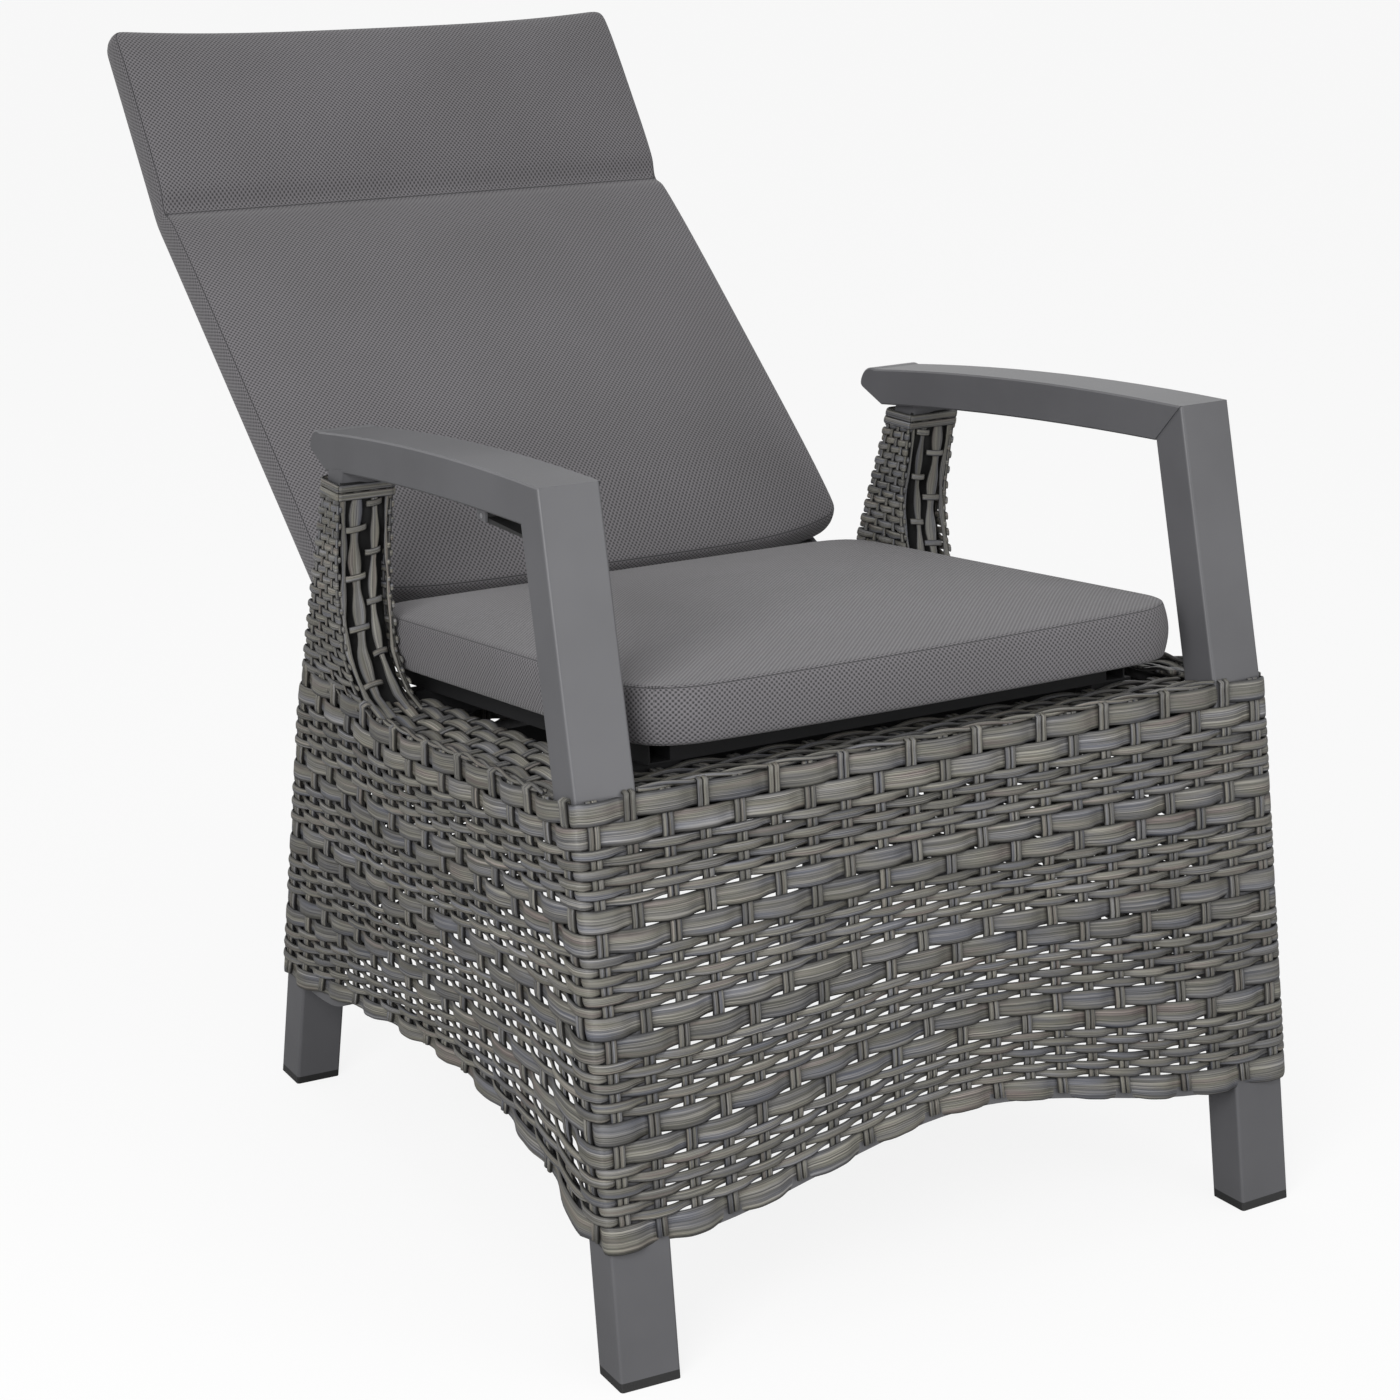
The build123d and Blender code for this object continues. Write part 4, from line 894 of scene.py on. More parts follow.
@dataclass
class Skirts:
    """The woven skirts: rows that run round the chair in and out of pairs of upright strands."""

    shell: SkirtShell = field(default_factory=SkirtShell)
    plan: RowPlan = field(default_factory=RowPlan)
    sides: tuple[str, ...] = ("front", "left", "rear", "right")
    nodes: tuple[str, ...] = ("front_skirt", "left_side_skirt", "rear_skirt", "right_side_skirt")
    stakes_on: tuple[int, ...] = (21, 17, 21, 17)
    side_lengths: tuple[float, ...] = (634.0, 545.0, 590.0, 545.0)
    swing: float = 3.0
    stake_half: float = 2.3
    stake_gap: float = 0.4
    stake_thick: float = 1.7
    stake_over: float = 0.28
    stake_end: float = 5.5
    stake_top: float = -0.5
    hook_depths: tuple[float, ...] = (1.5, -1.6, -2.6, -1.4)
    hook_outs: tuple[float, ...] = (-4.4, -3.6, -0.9, 1.5)
    give: float = 0.8
    narrow_thick: float = 1.5
    wide_thick: float = 1.15
    rim_swell: tuple[float, float] = (0.97, 0.02)
    wide_swell: tuple[float, float] = (0.93, 0.08)
    narrow_swell: tuple[float, float] = (0.84, 0.22)
    slack: float = 0.4
    steps: int = 8
    corner_stake: float = 15.0
    corner_out: float = 1.4
    corner_reach: float = 0.9
    rear_rim_turns: tuple[float, float] = (2.06, 2.94)
    rear_rim_half: float = 3.4
    rear_rim_thick: float = 3.2
    rear_rim_over: float = 3.0
    rear_stake_over: float = 2.0
    twist_steps: int = 260
    twists: float = 9.0
    twist_radius: float = 1.5
    twist_depth: float = -2.4
    twist_in: float = -2.5
    turn_step: float = 2e-3
    depth_step: float = 1.0

    def frame_at(self, turn: Array, depth: Array) -> tuple[Array, Array, Array]:
        """Directions along, down and out of the skirt at places on it."""
        return weave_frame(self.shell.place, turn, depth, self.turn_step, self.depth_step)

    def stake_turns(self) -> Array:
        """Turns of the stakes: one close to each side of every corner, the rest even between.

        Returns:
            The turns, rising from 0 to 4.
        """
        turns = []
        for side, (length, count) in enumerate(zip(self.side_lengths, self.stakes_on)):
            edge = self.corner_stake / length
            turns.append(side + np.linspace(edge, 1.0 - edge, count))
        return np.concatenate(turns)

    def behind(self, stake: int, number: int) -> int:
        """Of a stake and the next one, the one that a row passes behind."""
        return stake if (stake + number) % 2 else stake + 1

    def span(self, side: int, number: int, high: bool) -> tuple[int, int]:
        """First and last stake of a row's stretch on one skirt.

        A row changes from one skirt to the next where a stake hides it. Above the rear skirt the
        rows of the side skirts end at the last stake of their own side.

        Args:
            side: number of the skirt.
            number: number of the row.
            high: whether the row lies above the rear skirt.

        Returns:
            Numbers of the stakes.
        """
        firsts = [sum(self.stakes_on[:count]) for count in range(len(self.sides) + 1)]
        name = self.sides[side]
        begin = self.behind(firsts[side] - 1, number)
        end = self.behind(firsts[side + 1] - 1, number)
        if high and name == "right":
            begin = firsts[side] - 1
        if high and name == "left":
            end = firsts[side + 1]
        return begin, end

    def weave(self, material: bpy.types.Material) -> None:
        """Make the four skirts.

        Args:
            material: the resin.
        """
        rng = np.random.default_rng(SEED)
        stakes = self.stake_turns()
        rows = self.plan.rows()
        total = len(stakes)
        numbers = np.arange(-1, total + 1)
        turns = np.concatenate([[stakes[-1] - 4.0], stakes, [stakes[0] + 4.0]])
        skeins = {name: Skein() for name in self.sides}
        for number, (depth, pitch, wide) in enumerate(rows):
            tint = rng.random()
            slack = rng.normal(0.0, self.slack, total)
            wobble = np.concatenate([slack[-1:], slack, slack[:1]])
            high = depth < self.plan.band()
            for side, name in enumerate(self.sides):
                if high and name == "rear":
                    continue
                begin, end = self.span(side, number, high)
                index = np.linspace(begin, end, (end - begin) * self.steps + 1)
                turn = np.interp(index, numbers, turns)
                shift = np.interp(index, numbers, wobble)
                self.lay_row(skeins[name], turn, index, depth + shift, pitch, wide, number, tint)
        for number, turn in enumerate(stakes):
            name = self.sides[int(turn)]
            top = self.plan.band() - self.rear_stake_over if name == "rear" else self.stake_top
            self.lay_stake(skeins[name], turn, number, top, rows, rng)
        self.lay_rear_rim(skeins["rear"], rng)
        self.lay_rims(skeins, rng)
        for name, node in zip(self.sides, self.nodes):
            piece = skeins[name].piece(f"{name}_woven_skirt", material)
            keep(piece, "base", Slot.WEAVE, node)

    def lay_row(
        self, skein: Skein, turn: Array, index: Array, depth: Array, pitch: float, wide: bool,
        number: int, tint: float,
    ) -> None:
        """One row: it swings out over every other stake and in behind the ones between.

        The swing is an eased cosine of the stake number, and the row is full where it lies in
        front and drawn together where it dives behind.

        Args:
            skein: what gathers the strands.
            turn: turns of the row's points.
            index: their places between the stakes, as stake numbers with a fraction.
            depth: their depths below the rim.
            pitch: room that the row has.
            wide: whether it is a wide flat strand.
            number: the row's number from the rim.
            tint: its number for the colour.
        """
        _, down, out = self.frame_at(turn, depth)
        middle = self.shell.place(turn, depth)
        step = self.depth_step
        tight = np.linalg.norm(
            self.shell.place(turn, depth + step) - self.shell.place(turn, depth - step), axis=1
        ) / (2.0 * step)
        front = smooth(0.5 + 0.5 * np.cos(np.pi * (index + number)))
        round_corner = self.corner_share(turn)
        swing = self.swing * (2.0 * front - 1.0)
        swing = swing * (1.0 - round_corner) + self.corner_out * round_corner
        front = np.maximum(front, round_corner)
        base, gain = self.wide_swell if wide else self.narrow_swell
        if number < self.plan.wide_count:
            base, gain = self.rim_swell
        half = 0.5 * pitch * tight * (base + gain * front)
        thick = self.wide_thick if wide else self.narrow_thick
        section = Section(12, 0.5, 0.8) if wide else Section(10, 0.8, 0.9)
        line = middle + out * swing[:, None]
        skein.lay(line, down, out, half, thick, tint, section, start=tint * 9.0)

    def corner_share(self, turn: Array) -> Array:
        """How much a place lies on a corner: 1 at it, and 0 from a stake's distance on.

        Args:
            turn: turns round the chair.

        Returns:
            A share for each turn.
        """
        side, share = self.shell.share_and_side(turn)
        length = np.array(self.side_lengths)[side]
        gone = np.minimum(share, 1.0 - share) * length
        return 1.0 - smooth(gone / (self.corner_stake * self.corner_reach))

    def lay_stake(
        self, skein: Skein, turn: float, number: int, top: float, rows: list[tuple[float, float, bool]],
        rng: np.random.Generator,
    ) -> None:
        """A pair of upright strands, which give way to the rows and hook over the rim.

        Args:
            skein: what gathers the strands.
            turn: the stake's turn round the chair.
            number: its number.
            top: depth of its upper end.
            rows: the rows that it passes.
            rng: source of its colours.
        """
        middles = np.array([row[0] for row in rows])
        pitches = np.array([row[1] for row in rows])
        bottom = self.shell.depth - self.stake_end
        over = pitches * self.stake_over
        stops = np.concatenate([middles - over, middles + over, [top, bottom]])
        depth = np.unique(np.clip(stops, top, bottom))
        order = np.interp(depth, middles, np.arange(len(middles)))
        give = -self.give * np.cos(np.pi * (order + number))
        if top < 0.0 and number % 2:
            depth = np.concatenate([self.hook_depths, depth[1:]])
            give = np.concatenate([self.hook_outs, give[1:]])
        turns = np.full(len(depth), turn)
        along, _, out = self.frame_at(turns, depth)
        middle = self.shell.place(turns, depth) + out * give[:, None]
        facing = unit(np.cross(np.gradient(middle, axis=0), along))
        for offset in (-1.0, 1.0):
            line = middle + along * offset * (self.stake_half + self.stake_gap / 2)
            skein.lay(
                line, along, facing, self.stake_half, self.stake_thick, rng.random(),
                Section(8, 1.0, 1.0), start=rng.random() * 5.0,
            )

    def lay_rear_rim(self, skein: Skein, rng: np.random.Generator) -> None:
        """A round rim strand along the top of the rear skirt.

        Args:
            skein: the rear skirt's strands.
            rng: source of its colour.
        """
        turn = np.linspace(*self.rear_rim_turns, 90)
        depth = np.full(len(turn), self.plan.band() - self.rear_rim_over)
        _, down, out = self.frame_at(turn, depth)
        line = self.shell.place(turn, depth)
        section = Section(10, 1.0, 1.0)
        skein.lay(line, down, out, self.rear_rim_half, self.rear_rim_thick, rng.random(), section)

    def lay_rims(self, skeins: dict[str, Skein], rng: np.random.Generator) -> None:
        """Two thin strands twisted along the rim of the front and sides: a pair of helices.

        Args:
            skeins: the strands of each skirt.
            rng: source of their colours.
        """
        for name, begin, end in (("front", 0.085, 0.915), ("left", 1.10, 1.66), ("right", 3.34, 3.90)):
            turn = np.linspace(begin, end, self.twist_steps)
            full = 2.0 * math.pi * (end - begin) * self.twists
            for phase in (0.0, math.pi):
                angle = np.linspace(0.0, full, self.twist_steps) + phase
                depth = self.twist_depth + self.twist_radius * np.sin(angle)
                _, down, out = self.frame_at(turn, depth)
                deep = self.twist_in + self.twist_radius * np.cos(angle)
                line = self.shell.place(turn, depth) + out * deep[:, None]
                skeins[name].lay(line, down, out, 1.6, 1.3, rng.random(), Section(6, 0.9, 0.9))


@dataclass
class SeatRim:
    """The flat woven rim round the seat: rows along each edge, over and under short stakes."""

    shell: SkirtShell = field(default_factory=SkirtShell)
    rows: int = 5
    depth: float = 60.0
    front_inset: float = 1.0
    front_height: float = 433.0
    front_inner_height: float = 428.0
    side_inset: float = 1.0
    side_below_rim: float = 3.5
    side_flat: float = 14.0
    side_begin: float = 108.0
    side_end: float = 447.0
    last_side_stake: float = 432.0
    bar_height: float = 434.0
    bar_front: float = 122.0
    bar_slope: float = 0.0963
    front_half: float = 3.3
    side_half: float = 5.4
    thick: float = 1.7
    swing: float = 1.8
    wander: float = 0.6
    stake_offset: float = 2.6
    stake_half: float = 2.3
    stake_thick: float = 1.1
    stake_give: float = 0.5

    def front_place(self, u: Array, v: Array) -> Array:
        """Front strip: the height falls evenly with the way in.

        Args:
            u: places across the chair.
            v: distances in from the rim.

        Returns:
            Rows of x, y and z in millimetres.
        """
        z = self.front_height - (self.front_height - self.front_inner_height) * smooth(v / self.depth)
        back = self.shell.stance.front_at(self.front_height) - self.front_inset + v
        return np.stack(np.broadcast_arrays(u, back, z), axis=-1).astype(float)

    def side_place(self, u: Array, v: Array) -> Array:
        """Left strip, eased from the dipped rim up to the seat's side bar.

        Args:
            u: distances back.
            v: distances in from the rim.

        Returns:
            Rows of x, y and z in millimetres.
        """
        rim = np.interp(u, self.shell.rim_backs, self.shell.rim_heights) - self.side_below_rim
        bar = self.bar_height - (u - self.bar_front) * self.bar_slope
        z = rim + (bar - rim) * smooth((v - self.side_flat) / (self.depth - self.side_flat))
        x = self.shell.stance.half_at(u) + self.side_inset - v
        return np.stack(np.broadcast_arrays(x, u, z), axis=-1).astype(float)

    def lay_strip(
        self, skein: Skein, place: Callable[[Array, Array], Array], start: float, end: float,
        stakes: Array, sign: float, half: float, rng: np.random.Generator,
    ) -> None:
        """Weave one strip between two ends on the given stakes.

        Args:
            skein: what gathers the strands.
            place: the strip's surface.
            start: first end.
            end: last end.
            stakes: places of the stakes along it.
            sign: which way the surface's own direction out points: 1 up and -1 down.
            half: half the width of a row.
            rng: source of the colours.
        """
        pitch = self.depth / self.rows
        pace = np.mean(np.diff(stakes))
        count = int((end - start) / pace * 8)
        for number in range(self.rows):
            u = np.linspace(start, end, count)
            index = (u - stakes[0]) / pace
            v = np.full(count, (number + 0.5) * pitch) + self.wander * np.sin(index * 2.1 + number)
            wave = np.cos(np.pi * (index + number))
            _, inward, out = weave_frame(place, u, v, 1.0, 1.0)
            out = out * sign
            line = place(u, v) + out * (self.swing * sharp_wave(wave))[:, None]
            width = half * (0.9 + 0.12 * wave)
            skein.lay(line, inward, out, width, self.thick, rng.random(), Section(8, 0.8, 0.9))
        for number, stake in enumerate(stakes):
            v = np.linspace(0.0, self.depth - 1.0, 16)
            u = np.full(len(v), stake)
            give = -self.stake_give * np.cos(np.pi * (v / pitch - 0.5 + number))
            along, _, out = weave_frame(place, u, v, 1.0, 1.0)
            out = out * sign
            for offset in (-self.stake_offset, self.stake_offset):
                line = place(u, v) + out * give[:, None] + along * offset
                skein.lay(
                    line, along, out, self.stake_half, self.stake_thick, rng.random(),
                    Section(8, 0.75, 0.9),
                )

    def weave(self, material: bpy.types.Material) -> None:
        """Make the front strip and both side strips as one piece.

        Args:
            material: the resin.
        """
        rng = np.random.default_rng(SEED + 1)
        skein = Skein()
        stance = self.shell.stance
        half = float(stance.half_at(80.0)) - stance.front_leg_width - 1.0
        stakes = np.linspace(-half + 14, half - 14, 16)
        self.lay_strip(skein, self.front_place, -half, half, stakes, -1.0, self.front_half, rng)
        stakes = np.linspace(self.side_begin + 12, self.last_side_stake, 13)
        for side in Side:
            def place(u: Array, v: Array, flip: float = side.value) -> Array:
                """The left strip, or its mirror image."""
                return self.side_place(u, v) * np.array([flip, 1.0, 1.0])

            self.lay_strip(
                skein, place, self.side_begin, self.side_end, stakes, -side.value, self.side_half, rng
            )
        keep(skein.piece("woven_seat_rim", material), "base", Slot.WEAVE, "woven_deck")


@dataclass
class PostSleeve:
    """Woven sleeve of one rear post: rows round three sides, and an open laced front.

    Its surface is worked out for the left sleeve, and turned over for the right one.
    """

    side: Side
    stance: Stance = field(default_factory=Stance)
    lift: float = 3.2
    low: float = 408.0
    high: float = 586.0
    front_heights: tuple[float, ...] = (402.0, 405.0, 410.0, 423.0, 441.0, 470.0, 490.0, 515.0, 583.0, 620.0)
    front_backs: tuple[float, ...] = (415.0, 425.0, 445.0, 462.0, 478.0, 485.0, 488.0, 488.0, 478.0, 472.0)
    pitch: float = 7.2
    corner: float = 6.0
    swing: float = 1.6
    row_thick: float = 1.3
    row_share: float = 0.46
    bare_top: float = 10.0
    stake_turns: tuple[float, ...] = (0.06, 0.25, 0.44, 0.63, 0.82, 1.25, 1.75, 2.18, 2.37, 2.56, 2.75, 2.94)
    stake_spread: float = 0.19
    stake_step: float = 3.0
    stake_half: float = 2.1
    stake_thick: float = 1.2
    band_half: float = 3.3
    band_first: float = 12.5
    band_pitch: float = 7.0
    front_band_half: float = 3.2
    lace_shares: tuple[float, ...] = (0.33, 0.68, 0.07, 0.95)
    lace_halves: tuple[float, ...] = (6.2, 4.2, 3.1, 1.9)
    tie_shares: tuple[float, ...] = (0.33, 0.68)
    tie_reaches: tuple[float, ...] = (0.2, 0.15)
    tie_tops: tuple[float, ...] = (545.0, 566.0)
    tie_count: int = 4
    tie_pitch: float = 42.0
    # Depths of the painted-shade sheet behind the lacing, deeper below its waist.
    shade_sheet_deep: float = 3.4
    shade_sheet_deeper: float = 9.0
    shade_sheet_waist: float = 560.0
    shade_sheet_ease: float = 70.0

    def front_at(self, height: Array) -> Array:
        """Front edge: flared at the rim, upright above its waist."""
        return np.interp(height, self.front_heights, self.front_backs)

    def place(self, turn: Array, height: Array) -> Array:
        """Place round the sleeve: straight sides, with their corners rounded.

        Args:
            turn: 0 to 1 on the outer side, 1 to 2 at the back and 2 to 3 on the inner side.
            height: heights above the floor.

        Returns:
            Rows of x, y and z in millimetres.
        """
        turn, height = np.broadcast_arrays(np.asarray(turn, float), np.asarray(height, float))
        front = self.front_at(height)
        rear = self.stance.rear_at(height) + self.lift
        outer_front = self.stance.half_at(front) + self.lift
        outer_rear = self.stance.half_at(rear) + self.lift
        inset = self.stance.rear_leg_width + 2 * self.lift
        corners = np.stack(
            [np.stack([outer_front, front], -1), np.stack([outer_rear, rear], -1),
             np.stack([outer_rear - inset, rear], -1), np.stack([outer_front - inset, front], -1)],
        )
        side = np.clip(turn.astype(int), 0, 2)
        share = turn - side
        pick = np.arange(len(height))
        start, end = corners[side, pick], corners[side + 1, pick]
        length = np.linalg.norm(end - start, axis=1)
        way = unit(end - start)
        result = start + way * (share * length)[:, None]
        for corner, here, other_side, gone in (
            (start, way, side - 1, share * length), (end, -way, side + 2, (1.0 - share) * length),
        ):
            real = (other_side >= 0) & (other_side <= 3)
            other = corners[np.clip(other_side, 0, 3), pick]
            bend = eased_corner(corner, here, unit(other - corner), gone, self.corner)
            result = np.where(((gone < self.corner) & real)[:, None], bend, result)
        return np.column_stack([result, height]) * np.array([self.side.value, 1.0, 1.0])

    def front_place(self, share: Array, height: Array) -> Array:
        """Open front of the sleeve: a straight line from its outer edge to its inner edge.

        Args:
            share: 0 at the outer edge and 1 at the inner one.
            height: heights above the floor.

        Returns:
            Rows of x, y and z in millimetres.
        """
        front = self.front_at(height) + 2.0
        outer = self.stance.half_at(front) + self.lift - 1.0
        inset = self.stance.rear_leg_width + 2 * self.lift - 2.0
        x = (outer - share * inset) * self.side.value
        return np.stack(np.broadcast_arrays(x, front, height), axis=-1).astype(float)

    def round_frame(self, turn: Array, height: Array) -> tuple[Array, Array, Array]:
        """Directions along, up and out at places round the sleeve."""
        along, up, out = weave_frame(self.place, turn, height, 4e-3, 1.0)
        return along, up, out * -self.side.value

    def front_frame(self, share: Array, height: Array) -> tuple[Array, Array, Array]:
        """Directions along, up and out at places on the open front."""
        along, up, out = weave_frame(self.front_place, share, height, 1e-2, 1.0)
        return along, up, out * self.side.value

    def weave(self, material: bpy.types.Material, shade_sheet: bpy.types.Material) -> None:
        """Make the sleeve with its rows, bands, stakes and lacing, and a dark sheet behind the lacing as
        painted shade.

        Args:
            material: the resin.
            shade_sheet: the near-black finish of the painted shade that shows between the laces.
        """
        rng = np.random.default_rng(SEED + (2 if self.side is Side.LEFT else 3))
        skein = Skein()
        stakes = np.array(self.stake_turns)
        numbers = np.arange(len(stakes))
        rows = int((self.high - self.bare_top - self.low) / self.pitch)
        for number in range(rows):
            index = np.linspace(-0.3, len(stakes) - 0.7, len(stakes) * 7)
            turn = np.interp(index, numbers, stakes)
            turn = np.where(index < 0, stakes[0] + index * self.stake_spread, turn)
            beyond = stakes[-1] + (index - numbers[-1]) * self.stake_spread
            turn = np.clip(np.where(index > numbers[-1], beyond, turn), 0.004, 2.996)
            level = self.low + (number + 0.5) * self.pitch
            wave = np.cos(np.pi * (index + number))
            self.lay_row(skein, turn, level, wave, self.row_share * self.pitch, rng.random())
        for band in range(2):
            turn = np.linspace(0.0, 3.0, 90)
            level = self.high - self.band_first + band * self.band_pitch
            self.lay_row(skein, turn, level, np.ones(len(turn)), self.band_half, rng.random())
            self.lay_front_band(skein, level, rng)
        for stake in stakes:
            height = np.arange(self.low - 8.0, self.high - 2.0, self.stake_step)
            turn = np.full(len(height), stake)
            along, _, out = self.round_frame(turn, height)
            line = self.place(turn, height) + out * 0.2
            section = Section(8, 0.75, 0.9)
            skein.lay(line, along, out, self.stake_half, self.stake_thick, rng.random(), section)
        self.lay_laces(skein, rng)
        self.lay_ties(skein, rng)
        piece = skein.piece(f"{self.side.word}_woven_sleeve", material)
        keep(piece, "base", Slot.WEAVE, f"{self.side.word}_post_sleeve")
        self.lay_shade_sheet(shade_sheet)

    def lay_row(
        self, skein: Skein, turn: Array, level: float, wave: Array, half: float, tint: float
    ) -> None:
        """One level row round three sides of the post.

        Args:
            skein: what gathers the strands.
            turn: turns of its points.
            level: its height.
            wave: 1 where it lies in front of a stake and -1 where it lies behind one.
            half: half its width.
            tint: its number for the colour.
        """
        height = np.full(len(turn), level)
        _, up, out = self.round_frame(turn, height)
        line = self.place(turn, height) + out * (self.swing * sharp_wave(wave))[:, None]
        width = half * (0.92 + 0.14 * wave)
        section = Section(10, 0.8, 0.9)
        skein.lay(line, up, out, width, self.row_thick, tint, section, start=tint * 7.0)

    def lay_front_band(self, skein: Skein, level: float, rng: np.random.Generator) -> None:
        """A flat band across the front near the armrest.

        Args:
            skein: what gathers the strands.
            level: the band's height.
            rng: source of its colour.
        """
        share = np.linspace(-0.04, 1.04, 20)
        height = np.full(len(share), level)
        _, up, out = self.front_frame(share, height)
        line = self.front_place(share, height) + out * 1.6
        skein.lay(line, up, out, self.front_band_half, 1.1, rng.random(), Section(10, 0.7, 0.9))

    def lay_laces(self, skein: Skein, rng: np.random.Generator) -> None:
        """Upright strands on the open front: each sways as a sine and swells as a cosine.

        Args:
            skein: what gathers the strands.
            rng: source of their colours.
        """
        for share, half in zip(self.lace_shares, self.lace_halves):
            height = np.linspace(self.low - 6.0, self.high - 6.0, 40)
            shares = share + 0.03 * np.sin(height * 0.05 + share * 9.0)
            along, _, out = self.front_frame(shares, height)
            width = half * (0.78 + 0.22 * np.cos((height - self.low) * 0.15 + share * 8.0))
            line = self.front_place(shares, height) + out * 0.4
            skein.lay(line, along, out, width, 0.8, rng.random(), Section(10, 0.5, 0.8))

    def lay_ties(self, skein: Skein, rng: np.random.Generator) -> None:
        """Short cross ties that hold the two widest laces: each bows out in its middle.

        Args:
            skein: what gathers the strands.
            rng: source of their colours.
        """
        way = np.linspace(-1.0, 1.0, 12)
        for share, reach, top in zip(self.tie_shares, self.tie_reaches, self.tie_tops):
            for row in range(self.tie_count):
                shares = np.linspace(share - reach, share + reach, len(way))
                level = top - self.tie_pitch * row + way
                _, up, out = self.front_frame(shares, level)
                bow = 1.9 - 2.0 * np.abs(way) ** 3
                line = self.front_place(shares, level) + out * bow[:, None]
                skein.lay(line, up, out, 2.7, 1.0, rng.random(), Section(8, 0.7, 0.9))

    def lay_shade_sheet(self, shade_sheet: bpy.types.Material) -> None:
        """A dark sheet behind the laced front: painted shade for the shadow inside the sleeve, which looks
        black.

        Args:
            shade_sheet: its near-black finish.
        """
        skein = Skein()
        height = np.linspace(self.low - 4.0, self.high - 2.0, 30)
        share = np.full(len(height), 0.5)
        along, _, out = self.front_frame(share, height)
        deep = self.shade_sheet_deep + self.shade_sheet_deeper * smooth((self.shade_sheet_waist - height) / self.shade_sheet_ease)
        line = self.front_place(share, height) - out * deep[:, None]
        half = 0.5 * (self.stance.rear_leg_width + 2 * self.lift) - 2.5
        skein.lay(line, along, out, half, 1.2, 0.5, Section(8, 0.3, 0.6))
        keep(skein.piece(f"{self.side.word}_sleeve_shade_sheet", shade_sheet), "base", Slot.METAL)


# Back frame weave and cushions


@dataclass
class BackLine:
    """The backrest from the side: a straight main part and a head part that leans less."""

    start: tuple[float, float] = (602.0, 473.0)
    main_lean: float = 50.3
    head_lean: float = 36.0
    main_length: float = 437.0
    head_length: float = 190.0
    ease: float = 14.0
    arc_steps: int = 32

    @property
    def length(self) -> float:
        """Distance along the whole back."""
        return self.main_length + self.head_length

    def place(self, along: Array, depth: Array) -> Array:
        """Back and height for a distance up the back and a depth behind its front.

        The lean changes evenly over a short stretch at the head, so the line is the sum of two
        straight lines with a small arc between them, and depth is measured square to it.

        Args:
            along: distance up the back.
            depth: distance behind the cushion's front.

        Returns:
            Rows of back and height.
        """
        along, depth = np.broadcast_arrays(np.asarray(along, float), np.asarray(depth, float))
        low, high = math.radians(self.main_lean), math.radians(self.head_lean)
        begin, end = self.main_length - self.ease, self.main_length + self.ease
        share = np.clip((along - begin) / (end - begin), 0.0, 1.0)
        lean = low + (high - low) * share
        grid = np.linspace(0.0, 1.0, self.arc_steps + 1)
        leans = low + (high - low) * grid
        step = (end - begin) / self.arc_steps
        arc_back = np.concatenate([[0.0], np.cumsum(0.5 * (np.sin(leans[1:]) + np.sin(leans[:-1])))]) * step
        arc_up = np.concatenate([[0.0], np.cumsum(0.5 * (np.cos(leans[1:]) + np.cos(leans[:-1])))]) * step
        below = np.minimum(along, begin)
        above = np.maximum(along - end, 0.0)
        bent_back, bent_up = np.interp(share, grid, arc_back), np.interp(share, grid, arc_up)
        back = self.start[0] + below * math.sin(low) + bent_back + above * math.sin(high)
        up = self.start[1] + below * math.cos(low) + bent_up + above * math.cos(high)
        return np.stack([back + depth * np.cos(lean), up - depth * np.sin(lean)], axis=-1)


